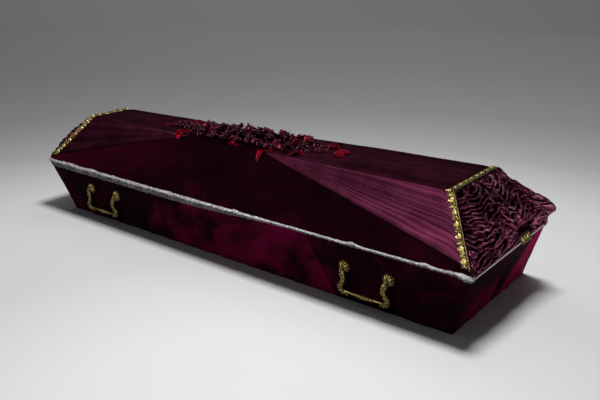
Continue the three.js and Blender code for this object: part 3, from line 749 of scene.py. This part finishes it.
class EndWall:  # one end of the lid, as across, up and out of its own plane
    def __init__(self, end, sign):
        self.settings = gathers[end]
        self.sign = sign
        self.tall = math.hypot(ridges[sign][0] - rims[sign][0], lidRise)
        self.lean = lidRise / self.tall
        self.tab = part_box("lid_head_braid_tab") if sign > 0 else None

    def half(self, up):
        rise = up * self.lean
        return halfWidth(endWall(self.sign, rim + rise)) - rise / slopeGrade

    def pressed(self, across, up):  # by the braid tab
        if not self.tab:
            return 0 * across
        low, high = self.tab
        half = (high.y - low.y) / 2
        aside = smooth(np.abs(across - (low.y + high.y) / 2), half + gathers["press"], half)
        return aside * smooth(up * self.lean, high.z - rim + gathers["press"], high.z - rim)

    def swell(self, across, up):
        half = self.half(up)
        place = np.clip((across / half + 1) / 2, 0, 1)
        share = np.clip(up / self.tall, 0, 1)
        rows = [np.interp(share, gathers["heights"], row) / 1000 for row in self.settings["swell"]]
        out = np.zeros_like(share)
        for k, (a, b) in enumerate(zip(gathers["places"], gathers["places"][1:])):
            out = np.where((place >= a) & (place <= b), lerp(rows[k], rows[k + 1], smooth(place, a, b)), out)
        near = np.clip(np.minimum(half - np.abs(across), self.tall - up) / gathers["edge"], 0, 1)
        return 0.0015 + out * np.sqrt(1 - (1 - near) ** 2) * (1 - 0.75 * self.pressed(across, up))

    def inScene(self, sheet, u):
        across, up, out = sheet
        tail = smooth(u, 0.72, 0.98) * np.maximum(0, out - 0.02)
        ahead, aside, above = (share * tail for share in self.settings["tail"])
        x = np.abs(endWall(self.sign, rim + up * self.lean)) + out * self.lean + ahead
        z = rim + up * self.lean + out * math.sqrt(1 - self.lean ** 2) + above
        return stack(self.sign * x, across + aside, np.maximum(z, rim + 0.0012))


def settledSheet(wall):
    rows = gathers["rows"] + 1
    columns = gathers["columns"] + 1
    seed = wall.settings["seed"]
    low = gathers["hem"] / wall.lean
    u, v = np.meshgrid(np.linspace(0, 1, columns), np.linspace(0, 1, rows))
    up = lerp(low, wall.tall, v)
    across = wall.half(up) * (2 * u - 1)
    seams = np.stack([across, up, wall.swell(across, up)], -1)
    # The cut has threads as long as what they cover, times the spare cloth.
    lengthAcross = np.linalg.norm(np.diff(seams, axis=1, prepend=seams[:, :1]), axis=-1)
    lengthUp = np.linalg.norm(np.diff(seams, axis=0, prepend=seams[:1]), axis=-1)
    moreAcross = gathers["spare"][0] + gathers["uneven"][0] * ripple(u * 9, v * 4, seed)
    moreUp = gathers["spare"][1] + gathers["uneven"][1] * ripple(u * 7 + 3, v * 3, seed + 1)
    cutAcross = np.cumsum(lengthAcross * moreAcross, 1)
    cutUp = np.cumsum(lengthUp * moreUp, 0)
    cut = np.stack([cutAcross - cutAcross[:, -1:] / 2, cutUp, 0 * u], -1)
    pins = np.zeros((rows, columns), bool)
    step = gathers["stitch"]
    pins[0, ::step] = pins[-1, ::step] = pins[::step, 0] = pins[::step, -1] = True
    free = np.where(pins, 0.0, 1.0)[..., None]
    layer = gathers["layer"] * (0.85 + 0.35 * ripple(u * 9, v * 5, 77))
    inner = np.clip(np.minimum(wall.half(up) - np.abs(across), wall.tall - up) / gathers["flatEdge"], 0, 1)
    wander = [far * ripple(across * 10 + k, up * (9 - 3 * k), 31 + k)
              for k, far in enumerate(gathers["wander"])]
    seeds = sampled(creases(np.random.default_rng(seed)), across + wander[0], up + wander[1])
    sheet = seams.copy()
    sheet[..., 2] += layer * inner * np.clip(0.5 + 0.5 * seeds, 0, 1)
    before = sheet.copy()
    sets = threadSets(rows, columns)
    for k in range(gathers["rounds"]):
        growth = min(1.0, lerp(gathers["begin"], 1.0, k / (0.6 * gathers["rounds"])))
        before, sheet = sheet, sheet + gathers["drift"] * (sheet - before) * free
        sheet[..., 1] -= gathers["sag"] * free[..., 0]
        drawThreads(sheet, cut, free, sets, growth)
        base = wall.swell(sheet[..., 0], sheet[..., 1])
        half = wall.half(sheet[..., 1])
        sheet[..., 0] = np.clip(sheet[..., 0], -half, half)
        sheet[..., 1] = np.maximum(sheet[..., 1], low - gathers["droop"])
        room = layer * (1 - 0.6 * wall.pressed(sheet[..., 0], sheet[..., 1]))
        sheet[..., 2] = np.clip(sheet[..., 2], base, base + room)
        sheet[pins] = seams[pins]
    return sheet, cut


def makeGathered(end, sign):
    wall = EndWall(end, sign)
    sheet, cut = settledSheet(wall)
    # The folds' height, 0 in the valleys and 1 on the crests, paints the satin: painted shade in the valleys
    # and a painted highlight on the crests.
    fold = (sheet[..., 2] - wall.swell(sheet[..., 0], sheet[..., 1])) / gathers["layer"]

    def at(u, v):
        return (np.rint(v * gathers["rows"]).astype(int), np.rint(u * gathers["columns"]).astype(int))

    size = (float(np.ptp(cut[..., 0])), float(cut[-1, :, 1].mean()))
    mesh = gridMesh(f"{end}_gathers", gathers["columns"], gathers["rows"],
                    lambda u, v: wall.inScene(sheet[at(u, v)].T, u), size,
                    {"high": lambda u, v: np.clip(fold[at(u, v)], 0, 1)})
    piece = finishPiece(mesh, "gathered_satin", f"lid_{end}_gathered_satin")
    rounder = piece.modifiers.new("rounder", "SUBSURF")
    rounder.levels = rounder.render_levels = 1
    giveThickness(piece, gathers["thickness"])
    steps = [np.diff(cut, axis=axis) for axis in (1, 0)]
    area = float(np.linalg.norm(np.cross(steps[0][:-1], steps[1][:, :-1]), axis=-1).sum())
    print(end, "gathers settled: cut", [round(side, 3) for side in size], "area", round(area, 3))
    return piece, size, area


gathered = {end: makeGathered(end, sign) for end, sign in ends}
print("gathered satin made")


# Gold braid along the ends of the lid

goldTrim = {
    "width": 0.0235,
    "thickness": 0.0015,
    "bossPitch": 0.038,
    "bossRadius": 0.0078,
    "bossHeight": 0.0058,
    "beadPitch": 0.0042,
    "leafHeight": 0.004,
    "scallop": 0.0048,
    "seat": 0.0062,  # from the boards to its underside, over the pressed pleats
    "hem": 0.012,
    "tabShift": 0.006,  # where in the pattern the tab is cut
    "tabLean": 0.006,
    "tabSeat": 0.002,
    "contrast": 1.6,
}


def goldRelief(s, t):
    # s along and t across in metres, from the edge at the gathered satin.
    width = goldTrim["width"]
    beads = np.clip(1 - ((t - 0.0028) / 0.0024) ** 2, 0, 1) ** 0.5
    beads = beads * (0.55 + 0.45 * np.abs(np.cos(np.pi * s / goldTrim["beadPitch"]))) * 0.0024
    pitch = goldTrim["bossPitch"]
    along = (s / pitch - np.floor(s / pitch) - 0.5) * pitch
    bossAt = width * 0.62
    away = np.hypot(along, t - bossAt) / goldTrim["bossRadius"]
    away = away * (1 + 0.22 * ripple(s * 260, t * 260, 74))
    boss = np.sqrt(np.clip(1 - away ** 2, 0, 1)) * goldTrim["bossHeight"]
    lobes = 0.5 + 0.5 * np.cos(2 * np.pi * s / 0.0095 + 2.2 * np.sin(np.pi * t / width))
    veins = 0.5 + 0.5 * np.cos(2 * np.pi * (t * 1.6 + np.abs(along) * 0.9) / 0.0042)
    inside = smooth(t, 0.005, 0.008) * smooth(width - t, 0.0, 0.004)
    worked = 0.75 + 0.5 * ripple(s * 160, t * 260, 71) + 0.35 * ripple(s * 420, t * 520, 72)
    leaf = goldTrim["leafHeight"] * (0.35 + 0.65 * lobes) * (0.6 + 0.4 * veins) * inside * worked
    return np.maximum.reduce([beads, boss, leaf * np.clip(away - 0.75, 0, 1)])


def paintedGoldHighlight(s, t):  # painted highlight: pale on what stands high
    return np.clip(goldRelief(s, t) / goldTrim["bossHeight"] * goldTrim["contrast"], 0, 1)


def makeGoldBraid(end, sign):
    top = ridges[sign]
    low = rim + goldTrim["hem"]
    width = goldTrim["width"]
    lowX = float(endWall(sign, low))
    foot = np.array([lowX, halfWidth(lowX) - goldTrim["hem"] / slopeGrade, low])
    slopeLength = float(np.linalg.norm(top - foot))
    topLength = 2 * float(top[1])
    total = 2 * slopeLength + topLength

    def place(u, v):
        s = u * total
        wave = 0.5 + 0.5 * np.cos(4 * np.pi * s / goldTrim["bossPitch"]) + 0.5 * ripple(s * 170, 0 * s, 73)
        edge = 1 + goldTrim["scallop"] / width * wave
        t = v * width * lerp(1.0, edge, v ** 3)
        relief = goldRelief(s, np.clip(t, 0, width)) * smooth(v, 0, 0.02)
        onLeft = s < slopeLength
        onRight = s > total - slopeLength
        share = np.clip(np.where(onLeft, s, total - s) / slopeLength, 0, 1)
        side = np.where(s < total / 2, -1.0, 1.0)
        z = lerp(foot[2], top[2], share)
        x = np.abs(endWall(sign, z))
        half = halfWidth(sign * x) - (z - rim) / slopeGrade
        y = np.where(onLeft | onRight, side * half, lerp(-top[1], top[1], (s - slopeLength) / topLength))
        x = sign * x - sign * t
        return stack(x, y, overLid(x, y, goldTrim["seat"] + relief, 0.008))

    mesh = gridMesh(f"{end}_gold_trim", 620, 26, place, (total, width),
                    {"high": lambda u, v: paintedGoldHighlight(u * total, v * width)})
    return finishPiece(mesh, "gold_braid", f"lid_{end}_gold_braid", goldTrim["thickness"])


def makeTab():
    node = "lid_head_braid_tab"
    low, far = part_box(node)
    long = far.y - low.y
    tall = far.z - low.z
    shift = goldTrim["tabShift"]

    def place(u, v):
        relief = goldRelief(u * long + shift, v * tall)
        x = lerp(low.x, far.x - goldTrim["tabLean"], 1 - v) + goldTrim["tabSeat"] + relief
        return stack(x, lerp(low.y, far.y, u), lerp(low.z, far.z, v))

    mesh = gridMesh("gold_tab", 80, 26, place, (long, tall),
                    {"high": lambda u, v: paintedGoldHighlight(u * long + shift, v * tall)})
    return finishPiece(mesh, "gold_braid", node, goldTrim["thickness"])


braids = {end: [makeGoldBraid(end, sign)] for end, sign in ends}
braids["head"].append(makeTab())
print("gold braid made")


# Silver braid along the rim

silverTrim = {
    "low": (-0.022, -0.002),  # from the rim, at the foot and at the head
    "narrows": (-0.2, 0.4),
    "high": 0.0068,
    "turn": 0.02,  # round the corners
    "lump": 0.007,
    "thickness": 0.0012,
    "seat": 0.0034,
    "pucker": 0.0026,
    "tuft": 0.006,
    "net": 0.001,
    "mesh": 0.0062,
}


def silverNet(s, v):
    mesh = silverTrim["mesh"]
    return np.cos(2 * np.pi * (s / mesh + v * 4)) * np.cos(2 * np.pi * (s / mesh - v * 4))


def silverTop(nearHead, v):  # 1 on the braid's puckered upper part, which is broader near the head
    return smooth(v, lerp(0.5, 0.2, nearHead), lerp(0.8, 0.6, nearHead))


def makeSilverBraid(label, side):
    turn = silverTrim["turn"]
    total = float(rimLength) + 2 * turn

    def place(u, v):
        s = u * total
        along = lerp(rims[-1][0] - turn, rims[1][0] + turn, u)
        nearHead = smooth(along, *silverTrim["narrows"])
        lump = silverTrim["lump"] * smooth(along, 0.955, 0.985)
        wave = ripple(s * 60, v * 1.5, 51) * 0.55 + ripple(s * 190, v * 3, 52) * 0.45
        tufts = silverTrim["tuft"] * np.maximum(0, ripple(s * 24, 0 * s, 54) - 0.15)
        ragged = 0.0014 * ripple(s * 160, 0 * s, 53) * (1 - v)
        top = silverTop(nearHead, v)
        z = rim + lerp(lerp(*silverTrim["low"], nearHead) - lump, silverTrim["high"], v) + ragged
        z = z + (silverTrim["pucker"] * wave + tufts) * top
        rough = silverTrim["net"] * (silverNet(s, v) + 0.8 * ripple(s * 400, v * 8, 55))
        out = silverTrim["seat"] + rough + silverTrim["pucker"] * wave * top
        out = out + (0.002 * top + 0.3 * lump) * smooth(1 - v, 0.0, 0.3)
        flare = np.minimum(z, rim)
        footEnd = onCaseEnd(-1, 0 * u, flare, out)[:, 0]
        headEnd = onCaseEnd(1, 0 * u, flare, out)[:, 0]
        x = np.clip(along, footEnd, headEnd)
        y = onCase(x, flare, 1, out)[:, 1]
        past = np.abs(along) - np.abs(x)
        return stack(x, side * (y - past), z)

    # Lighter on the puckered upper part and along the net's threads, with a ripple of tone.
    def high(u, v):
        nearHead = smooth(lerp(rims[-1][0], rims[1][0], u), *silverTrim["narrows"])
        tone = 0.2 + 0.65 * silverTop(nearHead, v) + 0.25 * silverNet(u * total, v)
        return tone + 0.3 * ripple(u * total * 190, v * 5, 52)

    mesh = gridMesh(f"{label}_silver_trim", 1000, 18, place, (total, 0.03), {"high": high})
    finishPiece(mesh, "silver_braid", f"case_{label}_silver_braid", silverTrim["thickness"])


def makeEdging(end, sign):
    node = f"case_{end}_silver_edging"
    low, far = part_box(node)

    def place(u, v):
        out = 0.0042 + 0.0006 * ripple(lerp(low.y, far.y, u) * 200, v * 2, 61) + 0.0008 * np.sin(np.pi * v)
        return onCaseEnd(sign, lerp(low.y, far.y, u), lerp(low.z, far.z, v), out)

    mesh = gridMesh(f"{end}_silver_edge", 240, 6, place, (0.55, 0.008), {"high": lambda u, v: 0.7 + 0 * u})
    finishPiece(mesh, "silver_braid", node, silverTrim["thickness"])


for label, side in sides:
    makeSilverBraid(label, side)
for end, sign in ends:
    makeEdging(end, sign)
print("silver braid made")


# Handles

handleForm = {
    "neckSpan": 0.163,
    "neckHeight": 0.112,
    "shellRadius": 0.023,
    "shellDepth": 0.016,
    "ribs": 11,
    "drop": 0.073,  # from the necks down to the bar
    "out": 0.02,  # from the velvet to the bar
    "leafSize": 0.0048,
    "voxel": 0.0011,
}


def rod(bm, points, radii, sides=16):
    # A round rod through points, made from a row of rings bridged in turn.
    rings = []
    path = [Vector(p) for p in points]
    for k, (point, radius) in enumerate(zip(path, radii)):
        ahead = path[min(k + 1, len(path) - 1)] - path[max(k - 1, 0)]
        turned = Vector((0, 0, 1)).rotation_difference(ahead.normalized()).to_matrix().to_4x4()
        made = bmesh.ops.create_circle(bm, segments=sides, radius=radius, cap_ends=k in (0, len(path) - 1),
                                       matrix=Matrix.Translation(point) @ turned)
        rings.append(made["verts"])
    for first, second in zip(rings, rings[1:]):
        edges = [edge for ring in (first, second) for edge in {e for v in ring for e in v.link_edges}
                 if all(vert in ring for vert in edge.verts)]
        bmesh.ops.bridge_loops(bm, edges=edges)


def smoothPath(points, count):
    # A curve through a few points, each with a radius, as many evenly spaced ones.
    knots = np.array(points, float)
    padded = np.vstack([2 * knots[0] - knots[1], knots, 2 * knots[-1] - knots[-2]])
    out = []
    for t in np.linspace(0, len(knots) - 1 - 1e-9, count):
        k = int(t)
        f = t - k
        a, b, c, d = padded[k:k + 4]
        out.append(0.5 * (2 * b + (c - a) * f + (2 * a - 5 * b + 4 * c - d) * f ** 2
                          + (3 * b - a - 3 * c + d) * f ** 3))
    return np.array(out)


def shellMesh(bm, centre):
    # A scallop: a ball drawn into a bell, with ribs from its pole to its rim.
    radius = handleForm["shellRadius"]
    ball = bmesh.ops.create_uvsphere(bm, u_segments=110, v_segments=26, radius=1)["verts"]
    for vert in ball:
        x, y, z = vert.co
        flat = math.hypot(x, y)
        rib = 0.5 + 0.5 * math.cos(handleForm["ribs"] * math.atan2(y, x))
        reach = radius * (0.86 + 0.14 * rib) if z <= 0 else radius * (0.86 + 0.14 * rib * flat)
        rise = handleForm["shellDepth"] * z ** 1.3 + 0.0026 * rib * flat * z ** 0.5 if z > 0 else 0.0016 * z
        vert.co = Vector((x * reach, y * reach, rise)) + Vector(centre)


def lobe(bm, centre, size, stretch):
    ball = bmesh.ops.create_icosphere(bm, subdivisions=2, radius=size)["verts"]
    for vert in ball:
        vert.co = Vector((vert.co.x, vert.co.y * stretch, vert.co.z)) + Vector(centre)


def handleMesh():
    # u along the wall, v up it, w out of it: x, y and z here
    half = handleForm["neckSpan"] / 2
    drop = handleForm["drop"]
    out = handleForm["out"]
    bm = bmesh.new()
    for side in (-1, 1):
        neck = smoothPath([(side * half, 0, 0, 0.008), (side * half, 0, 0.006, 0.0075),
                           (side * half, 0, 0.012, 0.008)], 8)
        rod(bm, neck[:, :3], neck[:, 3])
        arm = smoothPath([
            (side * half, 0.002, 0.014, 0.0062),
            (side * (half - 0.004), -0.012, 0.021, 0.0072),
            (side * (half - 0.009), -0.027, 0.023, 0.0066),
            (side * (half - 0.004), -0.042, 0.022, 0.0078),
            (side * (half + 0.004), -0.056, 0.021, 0.0092),
            (side * (half + 0.003), -drop + 0.004, out, 0.0092),
            (side * (half - 0.007), -drop - 0.005, out, 0.0072),
            (side * (half - 0.018), -drop - 0.002, out, 0.0044),
        ], 46)
        twist = 1 + 0.14 * np.cos(np.arange(46) * 1.15)
        rod(bm, arm[:, :3], arm[:, 3] * twist)
        for k in range(4, 40, 3):  # leaves curling off both sides of the arm
            x, y, z, radius = arm[k]
            size = handleForm["leafSize"] * (0.75 + 0.4 * math.sin(k * 0.7) ** 2)
            lobe(bm, (x + side * radius * 0.75, y - 0.001, z + 0.002), size, 1.35)
            lobe(bm, (x - side * radius * 0.7, y + 0.003, z + 0.003), size * 0.75, 1.3)
        lobe(bm, (side * (half - 0.019), -drop - 0.009, out), 0.0042, 1.25)
        shellMesh(bm, (side * half, 0.004, 0.002))
        lobe(bm, (side * half, 0.004, 0.02), 0.0062, 1.0)
    bar = smoothPath([(-half + 0.01, -drop, out, 0.0052), (-half + 0.028, -drop, out, 0.0038),
                      (-0.034, -drop - 0.001, out, 0.0052), (0, -drop - 0.002, out, 0.0078),
                      (0.034, -drop - 0.001, out, 0.0052), (half - 0.028, -drop, out, 0.0038),
                      (half - 0.01, -drop, out, 0.0052)], 80)
    beads = 1 + 0.12 * np.cos(np.arange(80) * 1.5) * smooth(0.05 - np.abs(bar[:, 0]), 0, 0.02)
    rod(bm, bar[:, :3], bar[:, 3] * beads)
    bmesh.ops.recalc_face_normals(bm, faces=bm.faces)
    return fused(meshFrom(bm, "handle form"), handleForm["voxel"])


def fused(mesh, voxel):  # one skin round everything that overlaps
    holder = newObject("form", mesh)
    remesh = holder.modifiers.new("fuse", "REMESH")
    remesh.mode = "VOXEL"
    remesh.voxel_size = voxel
    bpy.context.view_layer.update()
    shape = bpy.data.meshes.new_from_object(holder.evaluated_get(bpy.context.evaluated_depsgraph_get()))
    bpy.data.objects.remove(holder)
    return shape


def handlePlace(node, side):
    low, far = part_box(node)
    across = (low.x + far.x) / 2
    lean = caseSideRun / rim
    up = Vector((0, side * lean, 1)).normalized()
    outward = Vector((-taper, side, -lean)).normalized()
    along = up.cross(outward).normalized()
    foot = onCase(np.array([across]), np.array([handleForm["neckHeight"]]), side, clothFace)[0]
    matrix = Matrix((along, up, outward)).transposed().to_4x4()
    matrix.translation = Vector(foot)
    return matrix


handleShape = handleMesh()
print("handle fused,", len(handleShape.polygons), "faces")
for label, side in sides:
    for end, _ in ends:
        node = f"{label}_{end}_handle"
        mesh = handleShape.copy()
        mesh.name = f"{label}_{end}_bail"
        mesh.transform(handlePlace(node, side))
        finishPiece(mesh, "handle", node)
print("handles made")


# The spray of satin roses

spray = {
    "foot": -0.4,
    "head": 0.318,
    "half": (0.034, 0.106, 0.04),  # at the foot end, the middle and the head end
    "roses": 84,
    "within": 0.9,  # the share of the half width that the roses' middles use
    "spiral": 2.4,  # from one rose to the next, so that they lie scattered
    "sizes": (0.01, 0.021),
    "heights": (0.016, 0.034),
    "beads": 150,
    "beadRadius": 0.0021,
    "beadHeight": 0.022,
    "ribbon": 0.02,
    "ribbonThickness": 0.0006,
    "seed": 4,
    # The outline: shares of the way from the foot end, each with its part of the three half widths.
    "outline": ((0, 0.1, 0.3, 0.84, 1), (0, 0, 1, 1, 2)),
    "narrow": (0.84, 0.75),  # from this share on the roses use less of the half width, and how much of it
}


def roseRibbon(bm, centre, size, height, crimson, rng):
    # A ribbon wound round itself and frilled along its free edge.
    turns = rng.uniform(1.8, 2.8)
    first = rng.uniform(0, 2 * math.pi)
    lobes = rng.uniform(3.5, 7.5)
    leaning = rng.uniform(-0.6, 0.6, 2)
    ribbon = bmesh.ops.create_grid(bm, x_segments=76, y_segments=4, size=1)["verts"]
    edge = bm.verts.layers.float["high"]
    red = bm.verts.layers.float["crimson"]
    for vert in ribbon:
        u = (vert.co.x + 1) / 2
        v = (vert.co.y + 1) / 2
        angle = first + 2 * math.pi * turns * u
        frill = math.sin(lobes * angle + 1.5 * math.sin(2.3 * angle))
        radius = size * (0.12 + 0.88 * u ** 0.75) * (0.4 + 0.6 * v) + 0.005 * frill * v
        rise = height * (0.15 + 0.85 * v ** 0.8) * (1 - 0.55 * u) + 0.0045 * math.cos(lobes * angle) * v
        x = radius * math.cos(angle) + leaning[0] * rise
        y = radius * math.sin(angle) + leaning[1] * rise
        vert.co = Vector((x, y, max(rise, 0.0005))) + centre
        # Painted shade low in the rose and a painted highlight along the ribbon's free edge.
        vert[edge] = 0.06 + 0.94 * v ** 2.5
        vert[red] = crimson


def onSpray(share):
    shares, parts = spray["outline"]
    room = float(np.interp(share, shares, [spray["half"][part] for part in parts]))
    start, less = spray["narrow"]
    return lerp(spray["foot"], spray["head"], share), room * (less if share > start else 1)


def surfaceUnder(x, y, above):
    return float(overLid(np.array([x]), np.array([y]), clothFace + above)[0])


def makeSpray():
    rng = np.random.default_rng(spray["seed"])
    bm = bmesh.new()
    bm.verts.layers.float.new("high")
    bm.verts.layers.float.new("crimson")
    for k in range(spray["roses"]):
        share = (k + 0.5) / spray["roses"]
        x, room = onSpray(share)
        y = room * spray["within"] * math.sin(k * spray["spiral"])
        full = room / spray["half"][1]
        size = rng.uniform(*spray["sizes"]) * (0.65 + 0.35 * full)
        tall = rng.uniform(*spray["heights"]) * (0.45 + 0.55 * full) * (1.15 - 0.35 * abs(y) / room)
        crimson = float(rng.uniform(0, 1) < 0.12 + 0.6 * (y > 0.55 * room))  # more of them behind
        roseRibbon(bm, Vector((x, y, surfaceUnder(x, y, 0.002))), size, tall, crimson, rng)
    for k in range(spray["beads"]):  # glass beads sewn between the roses
        x, room = onSpray(float(rng.uniform(0, 1)))
        y = float(rng.uniform(-1, 1)) * room
        z = surfaceUnder(x, y, 0.004)
        z += float(rng.uniform(0.2, 1)) * spray["beadHeight"] * room / spray["half"][1]
        bead = bmesh.ops.create_icosphere(bm, subdivisions=1, radius=spray["beadRadius"],
                                          matrix=Matrix.Translation((x, y, z)))["verts"]
        # The beads take the colour of the satin's painted crest highlight.
        for vert in bead:
            vert[bm.verts.layers.float["high"]] = 1
    return finishPiece(meshFrom(bm, "satin_roses"), "rose_satin", "spray_of_roses", spray["ribbonThickness"])


# Ten pairs of leaves of folded satin, each where the frame has one: which way it points and how far its two
# leaves spread, in degrees, their length and width in metres, how high they rise, curl and fold, and how many
# lengths their base is set back from the middle.
leafForms = (
    (178, 30, 0.07, 0.044, 0.003, 0.004, 0.22, 0.42), (192, 38, 0.05, 0.040, 0.004, 0.005, 0.35, 0.42),
    (150, 42, 0.06, 0.044, 0.003, 0.005, 0.22, 0.42), (268, 74, 0.034, 0.024, 0.001, 0.000, 0.05, 0.9),
    (-45, 50, 0.038, 0.032, 0.004, 0.002, 0.35, 1.1), (185, 42, 0.052, 0.042, 0.005, 0.004, 0.35, 0.42),
    (0, 32, 0.07, 0.042, 0.003, 0.006, 0.25, 0.42), (26, 44, 0.062, 0.040, 0.004, 0.006, 0.3, 0.42),
    (95, 50, 0.045, 0.038, 0.003, 0.006, 0.25, 0.42), (76, 50, 0.045, 0.038, 0.003, 0.006, 0.3, 0.42),
)


def measured(place, u, v):  # the length of a line on a leaf
    points = place(*np.broadcast_arrays(np.asarray(u, float), v)).reshape(-1, 3)
    return float(np.linalg.norm(np.diff(points, axis=0), axis=1).sum())


def makeLeaf(number, form):
    node = f"spray_leaf_{number}"
    low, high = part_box(node)
    middle = (low + high) / 2
    turn, spread, length, width, rise, curl, fold, setBack = form
    heading = math.radians(turn)
    base = (middle.x - setBack * length * math.cos(heading), middle.y - setBack * length * math.sin(heading))

    def place(u, v):  # from one tip to the base and on to the other tip
        far = np.abs(2 * u - 1)
        way = heading + math.radians(spread) * np.sign(u - 0.5) * (0.45 + 0.55 * far)
        full = np.sin(np.pi * np.minimum(far, 0.985) ** 1.1) ** 0.7
        across = (2 * v - 1) * width / 2 * np.maximum(0.3 * (1 - far), full)
        tilt = 0.4 * np.sin(3 * far + number)
        lift = rise * np.sin(np.pi * np.clip(far, 0, 1)) + curl * far ** 3 + np.abs(across) * fold
        lift = lift + across * np.sin(tilt) + 0.004 * ripple(u * 9, v * 4 + number, 80 + number)
        flat = across * np.cos(tilt)
        x = base[0] + length * far * np.cos(way) - flat * np.sin(way)
        y = base[1] + length * far * np.sin(way) + flat * np.cos(way)
        return stack(x, y, overLid(x, y, clothFace + np.maximum(lift, 0.0016), 0.012))

    # Painted shade along each leaf's middle fold and a painted highlight towards its edges.
    mesh = gridMesh(f"folded_leaf_{number}", 60, 14, place, (2 * length, width),
                    {"high": lambda u, v: 0.35 + 0.65 * np.abs(2 * v - 1)})
    piece = finishPiece(mesh, "leaf_satin", node, spray["ribbonThickness"])
    cut = (measured(place, np.linspace(0, 1, 60), 0.5), measured(place, 0.2, np.linspace(0, 1, 30)))


roses = makeSpray()
for number, form in enumerate(leafForms, 1):
    makeLeaf(number, form)
print("spray made")

# The roses count as one long ribbon, cut to pieces.
for end, (piece, cut, area) in gathered.items():
    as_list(braids[end])


# Stage, lights and camera

studio = {
    "floor": 9.0,
    "wall": 5.0,
    "lightMiddle": (0.78, -1.05),  # where the floor is painted palest, and its greys with the distance: a painted pool of light
    "fade": 20,
    "greys": ((0.0, 228), (0.5, 221), (1.1, 196), (1.6, 192), (2.1, 178), (2.8, 140),
              (3.3, 125), (3.8, 115), (4.6, 112), (5.7, 112), (9.0, 127), (16.0, 139)),
    "camera": (1.749, -2.080, 1.042),
    "look": (-0.5679, 0.7614, -0.3126),
    "lens": 44.97,
}


def makeStage():
    bm = bmesh.new()
    radius = studio["floor"]
    curve = studio["wall"]
    profile = [(0.0, 0.0), (1.0, 0.0), (radius, 0.0)]
    profile += [(radius + curve * math.sin(a), curve * (1 - math.cos(a)))
                for a in np.linspace(0.1, math.pi / 2, 12)]
    verts = [bm.verts.new((x, 0, z)) for x, z in profile]
    edges = [bm.edges.new(pair) for pair in zip(verts, verts[1:])]
    bmesh.ops.spin(bm, geom=verts + edges, axis=(0, 0, 1), cent=(0, 0, 0), steps=96,
                   angle=2 * math.pi, use_merge=True)
    bmesh.ops.remove_doubles(bm, verts=bm.verts, dist=1e-5)
    bmesh.ops.recalc_face_normals(bm, faces=bm.faces)
    if sum(face.normal.z for face in bm.faces) < 0:
        bmesh.ops.reverse_faces(bm, faces=bm.faces)
    mesh = meshFrom(bm, "studio floor")
    mesh.shade_smooth()
    stage = newObject("studio_floor", mesh)
    paint = Paint("paper floor", Roughness=0.9, Specular_IOR_Level=0.1)
    middle = (*studio["lightMiddle"], 0)
    across = paint.node("ShaderNodeVectorMath", {"operation": "DISTANCE"}, {0: paint.where(), 1: middle},
                        output="Value")
    reach = studio["fade"]
    greys = [(far / reach, tint(grey, grey, grey)) for far, grey in studio["greys"]]
    # A pool of light painted into the floor's colour: palest at the middle, greyer with the distance.
    paint.set(Base_Color=paint.ramp(across * (1 / reach), greys))
    mesh.materials.append(paint.material)


def softbox(name, location, target, size, power, color=(1, 1, 1)):
    light = bpy.data.lights.new(name, "AREA")
    light.shape = "RECTANGLE"
    light.size, light.size_y = size
    light.energy = power
    light.color = color
    lamp = newObject(name, light)
    lamp.location = location
    lamp.rotation_euler = (Vector(target) - Vector(location)).to_track_quat("-Z", "Y").to_euler()
    return lamp


makeStage()
# One lamp lights the floor, and the others the coffin, which keeps the floor's soft shadow in one piece.
floorLights = (
    softbox("above the floor", (-0.1, 1.6, 6.4), (0, 0, 0), (2.0, 1.5), 480),
    softbox("over the backdrop", (-5.2, 7.0, 8.0), (-5.6, 8.2, 0), (12.0, 6.0), 420),
)
coffinLights = (
    softbox("front left", (-0.7, -2.35, 2.3), (0.3, 0, 0.25), (1.5, 1.2), 54),
    softbox("right", (3.2, 0.9, 1.0), (0.9, 0, 0.2), (0.8, 0.8), 7),
    softbox("above the coffin", (0.2, 0.3, 3.0), (0.2, 0, 0.3), (2.6, 1.0), 7),
)
for lamps, state in ((floorLights, "INCLUDE"), (coffinLights, "EXCLUDE")):
    receivers = bpy.data.collections.new("studio floor")
    receivers.objects.link(bpy.data.objects["studio_floor"])
    receivers.collection_objects[0].light_linking.link_state = state
    for lamp in lamps:
        lamp.light_linking.receiver_collection = receivers
bpy.context.scene.view_settings.view_transform = "Standard"
world = bpy.data.worlds.new("studio")
world.use_nodes = True
world.node_tree.nodes["Background"].inputs["Color"].default_value = (0.75, 0.76, 0.78, 1)
world.node_tree.nodes["Background"].inputs["Strength"].default_value = 0.12
bpy.context.scene.world = world
camera = bpy.data.cameras.new("camera")
camera.lens = studio["lens"]
camera.sensor_width = 36
eye = newObject("camera", camera)
eye.location = studio["camera"]
eye.rotation_euler = Vector(studio["look"]).to_track_quat("-Z", "Y").to_euler()
bpy.context.scene.camera = eye
print("stage, lights and camera made")
